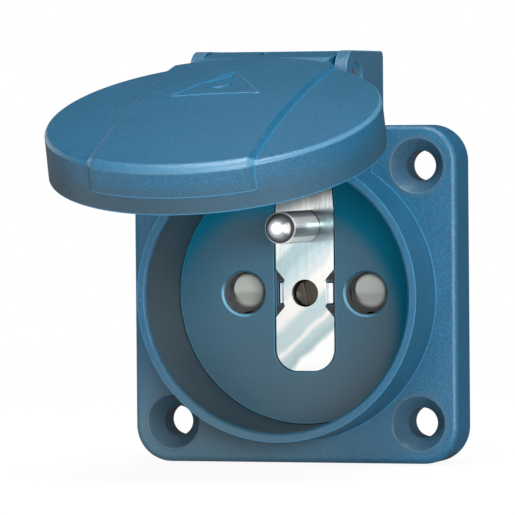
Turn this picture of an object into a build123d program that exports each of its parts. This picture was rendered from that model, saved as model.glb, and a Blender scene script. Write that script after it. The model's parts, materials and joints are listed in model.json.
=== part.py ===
# Panel outlet with an earth pin and a sprung hinged lid, shown with the lid open.
# X to the right, Y back into the panel, Z up. The origin is the centre of the flange's back face.
import os
from math import cos, radians, sin

from build123d import *

os.makedirs("parts", exist_ok=True)

# Flange
FLANGE_R = 5.4
FLANGE_T = 7.0
FLANGE_EDGE_R = 0.9
FIXING_PITCH = 38.0
FIXING_R = 2.25
FIXING_HEAD_R = 4.05
FIXING_ANGLE = 72.0
FIXING_BOSS_R = 3.2
LIP_W = 1.0
GASKET_T = 1.2
GASKET_W = 1.6
GASKET_LAND = 0.6

# Collar in front of the flange and barrel behind it
COLLAR_H = 9.6
COLLAR_DRAFT = 0.3
BORE_R = 19.62
BORE_DRAFT = 0.44
RIM_W = 1.38
RIM_CHAMFER = 0.35
BARREL_WALL = 1.58
BARREL_END = 12.0
LEDGE_Y = 6.0
LEDGE_W = 1.82
KEY_W = 3.0
KEY_H = 0.8

# Hinge tower
TOWER_HALF = 12.0
TOWER_TOP = 36.0
TOWER_EDGE_R = 1.0
TOWER_FRONT = 14.2
TOWER_ROOT = 17.0
EAR_T = 1.9
EAR_FRONT_R = 3.8
KNUCKLE_DROP = 4.8
KNUCKLE_SLOPE = 1.0
POCKET_R = 2.9
POCKET_DEPTH = 1.0
CORE_WALL = 1.8

# Hinge
HINGE_Y = -14.0
HINGE_Z = 31.6
OPEN_ANGLE = 71.5
PIN_R = 1.6
PIN_HOLLOW_R = 1.05
PIN_HOLLOW_DEPTH = 1.6
PIN_STAND = 0.5
LID_BARREL_R = 4.3

# Lid, in heights measured out from the hinge axis along the lid's outward normal
LID_EDGE = 5.6
LID_GAP = 1.06
LID_DRAFT = 0.1
LID_SKIRT = 6.6
LID_WALL = 1.5
LID_TOP_T = 1.9
LID_DOME = 1.7
LID_EDGE_R = 0.9
BAND_T = 0.55
BAND_RISE = 0.5
BAND_SLOPE = 0.85
BAND_HALF_FRONT = 11.3
BAND_HALF_MID = 11.35
BAND_HALF_REAR = 11.9
BAND_SKIRT = 4.0
ARM_T = 3.2
ARM_RISE = 0.3
ARM_START = 13.0
ARM_BEND = 9.5
SKIRT_CUT = 8.4
SEAL_W = 2.9
SEAL_GAP = 0.4
SEAL_T = 1.2
SEAL_RIB_T = 0.9

# Lid spring
SPRING_WIRE_R = 0.35
SPRING_R = 2.45
SPRING_PITCH = 0.95
SPRING_TURNS = 4
SPRING_ROOM_R = 3.2
SPRING_ROOM_HALF = 4.0
SPRING_LEG = 4.3
LEG_JOIN = 0.1
LEG_SLOT_HALF = 0.65
LEG_SLOT_START = 1.2
SPRING_HOLE_R = 0.5

# Insert with the face
FACE_Y = -1.6
FACE_WALL = 2.4
CARRIER_SKIRT_T = 2.2
LIVE_PITCH = 19.0
LIVE_HOLE_R = 3.15
LIVE_HOLE_EDGE = 0.3
BOSS_R = 3.4
SLOT_DEPTH = 0.95
SLOT_GAP = 0.25
GUIDE_T = 0.9
GUIDE_L = 18.0
SPRING_SEAT_T = 5.0

# Shutter
PAD_R = 2.35
PAD_RISE = 0.5
PAD_H = 1.1
PAD_RAMP = 1.6
SHUTTER_T = 1.8
SHUTTER_GAP = 0.15
SHUTTER_ARM_HALF = 3.3
SHUTTER_ARM_TOP = 3.4
SHUTTER_BAR_TOP = -9.6
SHUTTER_BAR_H = 3.0
SHUTTER_WINDOW_R = 2.75
SHUTTER_TRAVEL = 5.6
SHUTTER_SPRING_L = 9.4
SHUTTER_SPRING_R = 1.3
SHUTTER_SPRING_WIRE_R = 0.22
SHUTTER_SPRING_TURNS = 5
WIRE_SIDES = 6

# Earth strip and earth pin
STRIP_HALF = 4.5
STRIP_TOP_HALF = 4.15
STRIP_TAPER_Z = 12.5
STRIP_TOP = 18.3
STRIP_BOTTOM = -11.6
STRIP_END_R = 3.3
STRIP_T = 0.8
NOTCH_TIP = 3.15
NOTCH_TIP_Z = 2.0
NOTCH_TOP_Z = 3.6
TAB_HALF_W = 1.5
TAB_OUT = 4.1
TAB_END = 0.5
TONGUE_HALF = 3.0
TONGUE_END = 2.6
STRIP_HOLE_R = 2.05
EARTH_PIN_Z = 10.0
EARTH_PIN_R = 2.4
EARTH_PIN_L = 14.0
EARTH_PIN_TAPER = 1.5
EARTH_PIN_EDGE = 0.25
EARTH_PIN_TIP_R = 1.35
EARTH_PIN_TIP_ROUND = 0.5
SHANK_R = 1.6

# Centre screw and nut
SCREW_R = 1.25
SCREW_HEAD_R = 1.9
SCREW_HEAD_T = 1.8
SCREW_SUNK = 1.6
NUT_W = 5.5
NUT_T = 2.0
NUT_Y = 20.4

# Live contacts and terminals
CONTACT_BORE_R = 2.42
CONTACT_T = 0.6
CONTACT_START = 7.0
CONTACT_END = 17.9
CONTACT_FLOOR = 0.7
CONTACT_SLOT = 1.0
TAIL_T = 1.0
TAIL_HALF = 2.4
TAIL_END = 25.0
LINK_PLATE_T = 1.0
CAGE_W = 7.4
CAGE_H = 7.2
CAGE_L = 6.5
CAGE_T = 1.0
CAGE_OFFSET = 10.2
TERMINAL_SCREW_R = 1.75
TERMINAL_HEAD_R = 2.8
TERMINAL_HEAD_T = 1.4
WIRE_ROOM = 1.8
HEAD_GAP = 0.3
SLOT_W = 0.8
SLOT_CUT = 0.8
ACCESS_R = 3.0

# Contact base, terminal block and rear cover
BASE_LIP_SET = 1.0
BASE_LIP_T = 2.0
BASE_BODY_R = 18.6
BASE_END = 19.0
WELL_WALL = 1.1
WELL_GAP = 0.75
HEAD_SUNK = 0.5
BLOCK_END = 26.5
COVER_T = 2.0
COVER_RING_T = 0.9
COVER_RING_L = 1.0
COVER_RING_GAP = 0.1
ENTRY_R = 2.2
ENTRY_MOUTH_R = 2.9

# Clearances
FIT_INSERT = 0.12
FIT_SLIDE = 0.15
FIT_SHANK = 0.02
FIT_HINGE = 0.08
FIT_EAR = 0.3
FIT_CONTACT = 0.3
FIT_CAGE = 0.2
GASKET_GAP = 0.3

# Places worked out from the sizes above
flange_front = -FLANGE_T
rim_y = flange_front - COLLAR_H
rim_bore_r = BORE_R + BORE_DRAFT
collar_r = rim_bore_r + RIM_W
collar_root_r = collar_r + COLLAR_DRAFT
barrel_r = BORE_R + BARREL_WALL
ledge_r = BORE_R - LEDGE_W
land_r = barrel_r + GASKET_LAND
recess_half = land_r + GASKET_W + 2 * GASKET_GAP
recess_r = FLANGE_R - LIP_W
flange = 2 * (recess_half + LIP_W)
carrier_r = BORE_R - FIT_INSERT
cavity_y = FACE_Y + FACE_WALL
cavity_r = carrier_r - CARRIER_SKIRT_T
slot_floor = FACE_Y + SLOT_DEPTH
strip_front = slot_floor - STRIP_T
ear_inner = TOWER_HALF - EAR_T
arm_half = ear_inner - FIT_EAR
room_r = LID_BARREL_R + FIT_EAR
live_x = LIVE_PITCH / 2
plate_front = cavity_y + SHUTTER_GAP + PAD_H
plate_back = plate_front + SHUTTER_T
base_front = LEDGE_Y + FIT_EAR
plug_r = ledge_r - FIT_INSERT
lip_back = BARREL_END + BASE_LIP_T
cage_start = BASE_END + FIT_CAGE
cage_mid = cage_start + CAGE_L / 2
head_seat = strip_front + SCREW_SUNK + SCREW_HEAD_T
sleeve_r = CONTACT_BORE_R + CONTACT_T
well_r = sleeve_r + FIT_CONTACT
sleeve_end = CONTACT_END + CONTACT_FLOOR
lid_in_r = collar_r + LID_GAP
lid_r = lid_in_r + LID_WALL
band_r = lid_r + BAND_T
seal_out_r = lid_in_r - SEAL_GAP
seal_in_r = seal_out_r - SEAL_W
seal_seat = HINGE_Y - rim_y + FIT_EAR + SEAL_T
tail_x = CAGE_OFFSET - CAGE_W / 2 + CAGE_T + FIT_CAGE
screw_tip_x = tail_x + TAIL_T + WIRE_ROOM
screw_head_x = CAGE_OFFSET + CAGE_W / 2 + HEAD_GAP
block_r = screw_head_x + TERMINAL_HEAD_T + HEAD_SUNK
spring_seat_z = SHUTTER_ARM_TOP + SHUTTER_SPRING_L
shutter_mid = (plate_front + plate_back) / 2
pin_tip = strip_front - EARTH_PIN_L
spring_half = SPRING_PITCH * (SPRING_TURNS + (90 - OPEN_ANGLE) / 360) / 2
tab_in = TAB_OUT - STRIP_T
bend_z = STRIP_TOP - STRIP_T
terminals = {"right": 0, "earth": 90, "left": 180}


def facing(y):
    """A plane that faces the front at depth y, with X right and Z up."""
    return Plane.XZ.offset(-y)


def corner(sketch, x, y):
    """The vertex of a sketch that lies nearest to a point."""
    return sketch.vertices().sort_by_distance((x, y))[0]


def outward(angle):
    """The direction from the middle of the outlet to the terminal at an angle."""
    return (cos(radians(angle)), 0, sin(radians(angle)))


def terminal_facing(angle, y):
    """A plane that faces the front at depth y, with its x towards one terminal."""
    return Plane(origin=(0, y, 0), x_dir=outward(angle), z_dir=(0, -1, 0))


def terminal_side(angle, distance):
    """A plane across one terminal's screw, at a distance from the middle."""
    return Plane(origin=(0, cage_mid, 0), x_dir=(0, 1, 0), z_dir=outward(angle)).offset(distance)


def strip_outline(gap, notched):
    """The earth strip's outline, grown by a gap, with or without its side notches."""
    side = STRIP_HALF + gap
    low = STRIP_BOTTOM - gap
    round_r = STRIP_END_R + gap
    notch = [
        (side, NOTCH_TOP_Z),
        (NOTCH_TIP, NOTCH_TIP_Z),
        (tab_in, TAB_HALF_W),
        (tab_in, -TAB_HALF_W),
        (NOTCH_TIP, -NOTCH_TIP_Z),
        (side, -NOTCH_TOP_Z),
    ]
    Polyline(
        (0, bend_z + gap),
        (STRIP_TOP_HALF + gap, bend_z + gap),
        (side, STRIP_TAPER_Z),
        *(notch if notched else []),
        (side, low + round_r),
    )
    RadiusArc((side, low + round_r), (side - round_r, low), round_r)
    Line((side - round_r, low), (0, low))
    mirror(about=Plane.YZ)


# The lid's own frame on the hinge axis: x right, y towards the hinge side, z outwards
tilt = radians(OPEN_ANGLE)
lid_frame = Plane(origin=(0, HINGE_Y, HINGE_Z), x_dir=(1, 0, 0), z_dir=(0, -cos(tilt), sin(tilt)))
lid_centre = lid_frame.from_local_coords((0, -HINGE_Z, 0))
lid_axis = Axis(lid_centre, lid_frame.z_dir)
lid_section = Plane(origin=lid_centre, x_dir=(1, 0, 0), z_dir=lid_frame.y_dir * -1)
lid_side = Plane(origin=(0, HINGE_Y, HINGE_Z), x_dir=lid_frame.y_dir, z_dir=(1, 0, 0))
hinge_section = Plane(origin=(0, HINGE_Y, HINGE_Z), x_dir=(0, 1, 0), z_dir=(1, 0, 0))


# Housing: flange, collar, barrel and hinge tower in one moulding
with BuildPart() as housing:
    with BuildSketch(facing(0)):
        RectangleRounded(flange, flange, FLANGE_R)
    extrude(amount=FLANGE_T)
    fillet(housing.faces().sort_by(Axis.Y)[0].edges(), FLANGE_EDGE_R)
    # Hinge tower in side view
    with BuildSketch(Plane.YZ) as tower_side:
        with BuildLine():
            Polyline(
                (0, TOWER_ROOT),
                (0, TOWER_TOP),
                (HINGE_Y - LID_EDGE, TOWER_TOP),
                (HINGE_Y - LID_EDGE, HINGE_Z - KNUCKLE_DROP),
                (-TOWER_FRONT, HINGE_Z - KNUCKLE_DROP - KNUCKLE_SLOPE),
                (-TOWER_FRONT, TOWER_ROOT),
                close=True,
            )
        make_face()
        fillet(corner(tower_side, 0, TOWER_TOP), TOWER_EDGE_R)
        fillet(corner(tower_side, HINGE_Y - LID_EDGE, TOWER_TOP), EAR_FRONT_R)
        fillet(corner(tower_side, HINGE_Y - LID_EDGE, HINGE_Z - KNUCKLE_DROP), EAR_FRONT_R / 2)
    extrude(amount=TOWER_HALF, both=True)
    # Room between the ears for the lid's barrel
    with BuildSketch(hinge_section):
        Circle(room_r)
        Rectangle(2 * room_r, room_r + LID_EDGE, align=(Align.CENTER, Align.MIN))
        with Locations((0, -room_r)):
            Rectangle(2 * LID_EDGE, 2 * room_r + LID_EDGE, align=(Align.MAX, Align.MIN))
        with Locations((-TOWER_FRONT - HINGE_Y, 0)):
            Rectangle(2 * LID_EDGE, 2 * (KNUCKLE_DROP + KNUCKLE_SLOPE), align=(Align.MAX, Align.CENTER))
    extrude(amount=ear_inner, both=True, mode=Mode.SUBTRACT)
    # Cores in the tower's back
    with BuildSketch(facing(0)):
        with Locations((0, HINGE_Z - room_r + CORE_WALL)):
            with GridLocations(ear_inner + CORE_WALL / 2, 1, 2, 1):
                Rectangle(
                    ear_inner - CORE_WALL / 2,
                    TOWER_TOP - HINGE_Z + room_r - 2 * CORE_WALL,
                    align=(Align.CENTER, Align.MIN),
                )
    extrude(amount=-HINGE_Y - room_r - CORE_WALL, mode=Mode.SUBTRACT)
    # Collar and barrel
    with BuildSketch(Plane.XY):
        with BuildLine():
            Polyline(
                (0, rim_y),
                (collar_r, rim_y),
                (collar_root_r, flange_front),
                (collar_root_r, -GASKET_T),
                (land_r, -GASKET_T),
                (land_r, 0),
                (barrel_r, 0),
                (barrel_r, BARREL_END),
                (0, BARREL_END),
                close=True,
            )
        make_face()
    revolve(axis=Axis.Y)
    # Recess of the gasket in the flange's back
    with BuildSketch(facing(0)):
        RectangleRounded(2 * recess_half, 2 * recess_half, recess_r)
        Circle(land_r, mode=Mode.SUBTRACT)
        with GridLocations(FIXING_PITCH, FIXING_PITCH, 2, 2):
            Circle(FIXING_BOSS_R, mode=Mode.SUBTRACT)
    extrude(amount=GASKET_T, mode=Mode.SUBTRACT)
    # Bore with its ledge
    with BuildSketch(Plane.XY):
        with BuildLine():
            Polyline(
                (0, rim_y),
                (rim_bore_r + RIM_CHAMFER, rim_y),
                (rim_bore_r, rim_y + RIM_CHAMFER),
                (BORE_R, FACE_Y),
                (BORE_R, LEDGE_Y),
                (ledge_r, LEDGE_Y),
                (ledge_r, BARREL_END),
                (0, BARREL_END),
                close=True,
            )
        make_face()
    revolve(axis=Axis.Y, mode=Mode.SUBTRACT)
    # Key that stops the insert from turning
    with BuildSketch(facing(LEDGE_Y)):
        with Locations((0, -BORE_R)):
            Rectangle(KEY_W, 2 * KEY_H)
    extrude(amount=LEDGE_Y - cavity_y)
    # Fixing holes
    with Locations(facing(flange_front)):
        with GridLocations(FIXING_PITCH, FIXING_PITCH, 2, 2):
            CounterSinkHole(FIXING_R, FIXING_HEAD_R, FLANGE_T, FIXING_ANGLE)
    # Pin bores and their pockets in the ears
    with BuildSketch(hinge_section):
        Circle(PIN_R + FIT_SHANK)
    extrude(amount=TOWER_HALF, both=True, mode=Mode.SUBTRACT)
    with BuildSketch(
        hinge_section.offset(TOWER_HALF - POCKET_DEPTH),
        hinge_section.offset(-TOWER_HALF),
    ):
        Circle(POCKET_R)
    extrude(amount=POCKET_DEPTH, mode=Mode.SUBTRACT)
housing.part.label = "housing"
export_step(housing.part, "parts/housing.step")

# Gasket in the flange's back
with BuildPart() as flange_gasket:
    with BuildSketch(facing(0)):
        RectangleRounded(
            2 * (recess_half - GASKET_GAP),
            2 * (recess_half - GASKET_GAP),
            recess_r - GASKET_GAP,
        )
        Circle(land_r + GASKET_GAP, mode=Mode.SUBTRACT)
        with GridLocations(FIXING_PITCH, FIXING_PITCH, 2, 2):
            Circle(FIXING_BOSS_R + GASKET_GAP, mode=Mode.SUBTRACT)
    extrude(amount=GASKET_T)
flange_gasket.part.label = "flange_gasket"
export_step(flange_gasket.part, "parts/flange_gasket.step")

# Raised band that crosses the lid and wraps down its skirt
with BuildPart() as band:
    with BuildSketch(lid_section) as band_outline:
        with BuildLine():
            TangentArc((0, LID_EDGE + LID_DOME + BAND_T), (band_r, LID_EDGE + BAND_T), tangent=(1, 0))
            Polyline(
                (band_r, LID_EDGE + BAND_T),
                (band_r, LID_EDGE - BAND_SKIRT),
                (0, LID_EDGE - BAND_SKIRT),
                (0, LID_EDGE + LID_DOME + BAND_T),
            )
        make_face()
        fillet(corner(band_outline, band_r, LID_EDGE + BAND_T), LID_EDGE_R + BAND_T)
    revolve(axis=lid_axis)
    with BuildSketch(lid_frame.offset(LID_EDGE - BAND_SKIRT)):
        with BuildLine():
            right_side = ThreePointArc(
                (BAND_HALF_FRONT + BAND_SLOPE, -HINGE_Z - band_r),
                (BAND_HALF_MID + BAND_SLOPE, -HINGE_Z),
                (BAND_HALF_REAR + BAND_SLOPE, band_r - HINGE_Z),
            )
            left_side = ThreePointArc(
                (-BAND_HALF_REAR - BAND_SLOPE, band_r - HINGE_Z),
                (-BAND_HALF_MID - BAND_SLOPE, -HINGE_Z),
                (-BAND_HALF_FRONT - BAND_SLOPE, -HINGE_Z - band_r),
            )
            Line(right_side @ 1, left_side @ 0)
            Line(left_side @ 1, right_side @ 0)
        make_face()
    extrude(amount=BAND_SKIRT + LID_DOME + 2 * BAND_T, mode=Mode.INTERSECT)
    for side in (band.faces().sort_by(Axis.X)[0], band.faces().sort_by(Axis.X)[-1]):
        upper = side.edges().sort_by(Axis(lid_frame.origin, lid_frame.z_dir))[1:]
        chamfer(upper, BAND_RISE, BAND_SLOPE, reference=side)

# Arm and barrel that carry the lid on its pin
with BuildPart() as hinge_arm:
    with BuildSketch(lid_side):
        with BuildLine():
            Polyline(
                (-ARM_START, LID_EDGE + ARM_RISE),
                (-ARM_BEND, LID_EDGE + ARM_RISE),
                (0, LID_BARREL_R),
                (0, 0),
                (-LID_BARREL_R, LID_EDGE - ARM_T - LID_EDGE_R - LID_EDGE_R),
                (-LID_BARREL_R - 2 * LID_EDGE_R, LID_EDGE - ARM_T),
                (-ARM_START, LID_EDGE - ARM_T),
                close=True,
            )
        make_face()
        Circle(LID_BARREL_R)
    extrude(amount=BAND_HALF_REAR, both=True)
    with BuildSketch(lid_frame.offset(-LID_BARREL_R)):
        with BuildLine():
            Polyline(
                (-BAND_HALF_REAR, -ARM_START),
                (BAND_HALF_REAR, -ARM_START),
                (arm_half, -ARM_BEND),
                (arm_half, LID_BARREL_R),
                (-arm_half, LID_BARREL_R),
                (-arm_half, -ARM_BEND),
                close=True,
            )
        make_face()
    extrude(amount=2 * LID_BARREL_R + LID_EDGE, mode=Mode.INTERSECT)

# Lid: domed cap, skirt, band, arm and barrel in one moulding
with BuildPart() as lid:
    with BuildSketch(lid_section) as cap_outline:
        with BuildLine():
            TangentArc((0, LID_EDGE + LID_DOME), (lid_r, LID_EDGE), tangent=(1, 0))
            Polyline(
                (lid_r, LID_EDGE),
                (lid_r + LID_DRAFT, LID_EDGE - LID_SKIRT),
                (0, LID_EDGE - LID_SKIRT),
                (0, LID_EDGE + LID_DOME),
            )
        make_face()
        fillet(corner(cap_outline, lid_r, LID_EDGE), LID_EDGE_R)
    revolve(axis=lid_axis)
    add(band.part)
    add(hinge_arm.part)
    # Hollow with the seal's seat and its locating rib
    with BuildSketch(lid_section):
        rib_out = seal_in_r - FIT_INSERT
        rib_in = rib_out - SEAL_RIB_T
        with BuildLine():
            TangentArc((0, LID_EDGE + LID_DOME - LID_TOP_T), (rib_in, seal_seat + LID_EDGE_R / 2), tangent=(1, 0))
            Polyline(
                (rib_in, seal_seat + LID_EDGE_R / 2),
                (rib_in, seal_seat - SEAL_RIB_T),
                (rib_out, seal_seat - SEAL_RIB_T),
                (rib_out, seal_seat),
                (lid_in_r, seal_seat),
                (lid_in_r, LID_EDGE - LID_SKIRT),
                (0, LID_EDGE - LID_SKIRT),
                (0, LID_EDGE + LID_DOME - LID_TOP_T),
            )
        make_face()
    revolve(axis=lid_axis, mode=Mode.SUBTRACT)
    # Skirt cut back where it passes the tower
    with BuildSketch(lid_frame.offset(LID_EDGE - LID_SKIRT)):
        with Locations((0, -LID_BARREL_R - 2 * LID_EDGE_R)):
            Rectangle(2 * (TOWER_HALF + 2 * FIT_EAR), SKIRT_CUT, align=(Align.CENTER, Align.MAX))
    extrude(
        amount=HINGE_Y + TOWER_FRONT + 2 * FIT_EAR - LID_EDGE + LID_SKIRT,
        mode=Mode.SUBTRACT,
    )
    # Bore of the hinge pin, room of the spring, slot and hole of its legs
    with BuildSketch(lid_side):
        Circle(PIN_R + FIT_HINGE)
    extrude(amount=TOWER_HALF, both=True, mode=Mode.SUBTRACT)
    with BuildSketch(lid_side):
        Circle(SPRING_ROOM_R)
        with Locations((SPRING_WIRE_R - SPRING_ROOM_R, SPRING_R - 2 * SPRING_WIRE_R)):
            Rectangle(3 * SPRING_ROOM_R, 3 * SPRING_ROOM_R, align=(Align.MIN, Align.MAX))
    extrude(amount=SPRING_ROOM_HALF, both=True, mode=Mode.SUBTRACT)
    with BuildSketch(lid_side.offset(-spring_half)):
        with Locations((-LEG_SLOT_START, 0)):
            Rectangle(2 * LID_BARREL_R, 2 * LID_BARREL_R, align=(Align.MIN, Align.MIN))
    extrude(amount=LEG_SLOT_HALF, both=True, mode=Mode.SUBTRACT)
    with BuildSketch(lid_section.offset(-HINGE_Z)):
        with Locations((spring_half, SPRING_R)):
            Circle(SPRING_HOLE_R)
    extrude(amount=SPRING_LEG + FIT_SLIDE, mode=Mode.SUBTRACT)
lid.part.label = "lid"
export_step(lid.part, "parts/lid.step")

# Sealing ring under the lid
with BuildPart() as lid_seal:
    with BuildSketch(lid_frame.offset(seal_seat)):
        with Locations((0, -HINGE_Z)):
            Circle(seal_out_r)
            Circle(seal_in_r, mode=Mode.SUBTRACT)
    extrude(amount=-SEAL_T)
lid_seal.part.label = "lid_seal"
export_step(lid_seal.part, "parts/lid_seal.step")

# Hinge pin with hollow ends
with BuildPart() as hinge_pin:
    with BuildSketch(hinge_section):
        Circle(PIN_R)
    extrude(amount=TOWER_HALF - PIN_STAND, both=True)
    with BuildSketch(hinge_section.offset(TOWER_HALF - PIN_STAND)):
        Circle(PIN_HOLLOW_R)
    extrude(amount=-PIN_HOLLOW_DEPTH, mode=Mode.SUBTRACT)
    with BuildSketch(hinge_section.offset(PIN_STAND - TOWER_HALF)):
        Circle(PIN_HOLLOW_R)
    extrude(amount=PIN_HOLLOW_DEPTH, mode=Mode.SUBTRACT)
hinge_pin.part.label = "hinge_pin"
export_step(hinge_pin.part, "parts/hinge_pin.step")

# Torsion spring: one leg bears on the tower's wall, the other sits in the lid's arm
with BuildPart() as lid_spring:
    with BuildLine() as coil:
        Helix(
            pitch=SPRING_PITCH,
            height=2 * spring_half,
            radius=SPRING_R,
            center=(-spring_half, HINGE_Y, HINGE_Z),
            direction=(1, 0, 0),
        )
    with BuildSketch(Plane(origin=coil.line @ 0, z_dir=coil.line % 0)):
        RegularPolygon(SPRING_WIRE_R, WIRE_SIDES)
    sweep(path=coil.line, is_frenet=True)
    with BuildSketch(Plane(origin=coil.line @ 0, z_dir=(0, 1, 0)).offset(-LEG_JOIN)):
        RegularPolygon(SPRING_WIRE_R, WIRE_SIDES)
    extrude(amount=LEG_JOIN + SPRING_LEG)
    with BuildSketch(Plane(origin=coil.line @ 1, z_dir=lid_frame.y_dir * -1).offset(-LEG_JOIN)):
        RegularPolygon(SPRING_WIRE_R, WIRE_SIDES)
    extrude(amount=LEG_JOIN + SPRING_LEG)
lid_spring.part.label = "lid_spring"
export_step(lid_spring.part, "parts/lid_spring.step")

# Insert whose face shows in the collar
with BuildPart() as contact_carrier:
    with BuildSketch(facing(LEDGE_Y)):
        Circle(carrier_r)
    extrude(amount=LEDGE_Y - FACE_Y)
    # Hollow, less the bosses of the centre screw and earth pin and the seats of the shutter's springs
    with BuildSketch(facing(LEDGE_Y)):
        Circle(cavity_r)
        Circle(BOSS_R, mode=Mode.SUBTRACT)
        with Locations((0, EARTH_PIN_Z)):
            Circle(BOSS_R, mode=Mode.SUBTRACT)
        with Locations((live_x, spring_seat_z), (-live_x, spring_seat_z)):
            Rectangle(
                2 * SHUTTER_ARM_HALF,
                SPRING_SEAT_T,
                align=(Align.CENTER, Align.MIN),
                mode=Mode.SUBTRACT,
            )
    extrude(amount=LEDGE_Y - cavity_y, mode=Mode.SUBTRACT)
    # Guides of the shutter
    with BuildSketch(facing(plate_back)):
        with GridLocations(2 * (live_x + SHUTTER_ARM_HALF + FIT_SLIDE) + GUIDE_T, 1, 2, 1):
            Rectangle(GUIDE_T, GUIDE_L)
    extrude(amount=plate_back - cavity_y)
    # Live holes with a soft edge
    with Locations(facing(FACE_Y)):
        with GridLocations(LIVE_PITCH, 1, 2, 1):
            CounterSinkHole(LIVE_HOLE_R, LIVE_HOLE_R + LIVE_HOLE_EDGE, FACE_WALL, 90)
    # Slot of the earth strip, with openings for its tongue and tabs
    with BuildSketch(facing(slot_floor)):
        with BuildLine():
            strip_outline(SLOT_GAP, False)
        make_face()
    extrude(amount=SLOT_DEPTH, mode=Mode.SUBTRACT)
    with BuildSketch(facing(TONGUE_END + SLOT_GAP)):
        with Locations((0, STRIP_TOP - STRIP_T / 2)):
            Rectangle(2 * (TONGUE_HALF + SLOT_GAP), STRIP_T + 2 * SLOT_GAP)
    extrude(amount=TONGUE_END + SLOT_GAP - FACE_Y, mode=Mode.SUBTRACT)
    with BuildSketch(facing(cavity_y)):
        with GridLocations(2 * TAB_OUT - STRIP_T, 1, 2, 1):
            Rectangle(STRIP_T + 2 * SLOT_GAP, 2 * (TAB_HALF_W + SLOT_GAP))
    extrude(amount=cavity_y - slot_floor, mode=Mode.SUBTRACT)
    # Bores of the centre screw and the earth pin's shank
    with BuildSketch(facing(LEDGE_Y)):
        Circle(SCREW_R + FIT_INSERT)
        with Locations((0, EARTH_PIN_Z)):
            Circle(SHANK_R + FIT_INSERT)
    extrude(amount=LEDGE_Y - slot_floor, mode=Mode.SUBTRACT)
    with BuildSketch(facing(head_seat)):
        Circle(STRIP_HOLE_R)
    extrude(amount=head_seat - slot_floor, mode=Mode.SUBTRACT)
    # Keyway
    with BuildSketch(facing(LEDGE_Y)):
        with Locations((0, -BORE_R)):
            Rectangle(KEY_W + 2 * FIT_SLIDE, 2 * (KEY_H + FIT_SLIDE))
    extrude(amount=LEDGE_Y - cavity_y + FIT_SLIDE, mode=Mode.SUBTRACT)
contact_carrier.part.label = "contact_carrier"
export_step(contact_carrier.part, "parts/contact_carrier.step")

# Shutter: two ramped pads on a yoke with a window below each
with BuildPart() as shutter:
    with BuildSketch(facing(plate_back)):
        with BuildLine():
            Polyline(
                (0, SHUTTER_BAR_TOP),
                (live_x - SHUTTER_ARM_HALF, SHUTTER_BAR_TOP),
                (live_x - SHUTTER_ARM_HALF, SHUTTER_ARM_TOP),
                (live_x + SHUTTER_ARM_HALF, SHUTTER_ARM_TOP),
                (live_x + SHUTTER_ARM_HALF, SHUTTER_BAR_TOP),
                (live_x, SHUTTER_BAR_TOP - SHUTTER_BAR_H),
                (0, SHUTTER_BAR_TOP - SHUTTER_BAR_H),
            )
            mirror(about=Plane.YZ)
        make_face()
        with Locations((live_x, -SHUTTER_TRAVEL), (-live_x, -SHUTTER_TRAVEL)):
            Circle(SHUTTER_WINDOW_R, mode=Mode.SUBTRACT)
    extrude(amount=SHUTTER_T)
    with BuildSketch(facing(plate_front)):
        with Locations((live_x, PAD_RISE), (-live_x, PAD_RISE)):
            Circle(PAD_R)
    extrude(amount=PAD_H)
    with BuildSketch(Plane.YZ):
        with BuildLine():
            Polyline(
                (plate_front - PAD_H, PAD_RISE - PAD_R + PAD_RAMP),
                (plate_front - PAD_H, PAD_RISE - PAD_R),
                (plate_front, PAD_RISE - PAD_R),
                close=True,
            )
        make_face()
    extrude(amount=live_x + SHUTTER_ARM_HALF, both=True, mode=Mode.SUBTRACT)
shutter.part.label = "shutter"
export_step(shutter.part, "parts/shutter.step")

# The shutter's two compression springs
with BuildPart() as shutter_springs:
    for x in (-live_x, live_x):
        with BuildLine(Plane(origin=(x, shutter_mid, SHUTTER_ARM_TOP + SHUTTER_SPRING_WIRE_R))) as turns:
            Helix(
                pitch=(SHUTTER_SPRING_L - 2 * SHUTTER_SPRING_WIRE_R) / SHUTTER_SPRING_TURNS,
                height=SHUTTER_SPRING_L - 2 * SHUTTER_SPRING_WIRE_R,
                radius=SHUTTER_SPRING_R,
            )
        with BuildSketch(Plane(origin=turns.line @ 0, z_dir=turns.line % 0)):
            RegularPolygon(SHUTTER_SPRING_WIRE_R, WIRE_SIDES)
        sweep(path=turns.line, is_frenet=True)
shutter_springs.part.label = "shutter_springs"
export_step(shutter_springs.part, "parts/shutter_springs.step")

# Earth strip with side notches, bent tabs and a tongue
with BuildPart() as earth_strip:
    with BuildSketch(facing(slot_floor)):
        with BuildLine():
            strip_outline(0, True)
        make_face()
        Circle(STRIP_HOLE_R, mode=Mode.SUBTRACT)
        with Locations((0, EARTH_PIN_Z)):
            Circle(SHANK_R + FIT_SHANK, mode=Mode.SUBTRACT)
    extrude(amount=STRIP_T)
    with BuildSketch(Plane.XY.offset(-TAB_HALF_W)):
        with BuildLine():
            Polyline((tab_in, strip_front), (tab_in, TAB_END), (TAB_OUT, TAB_END), (TAB_OUT, slot_floor))
            RadiusArc((TAB_OUT, slot_floor), (tab_in, strip_front), -STRIP_T)
        make_face()
        mirror(about=Plane.YZ)
    extrude(amount=2 * TAB_HALF_W)
    with BuildSketch(Plane.YZ):
        with BuildLine():
            Polyline((strip_front, bend_z), (TONGUE_END, bend_z), (TONGUE_END, STRIP_TOP), (slot_floor, STRIP_TOP))
            RadiusArc((slot_floor, STRIP_TOP), (strip_front, bend_z), -STRIP_T)
        make_face()
    extrude(amount=TONGUE_HALF, both=True)
earth_strip.part.label = "earth_strip"
export_step(earth_strip.part, "parts/earth_strip.step")

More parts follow.
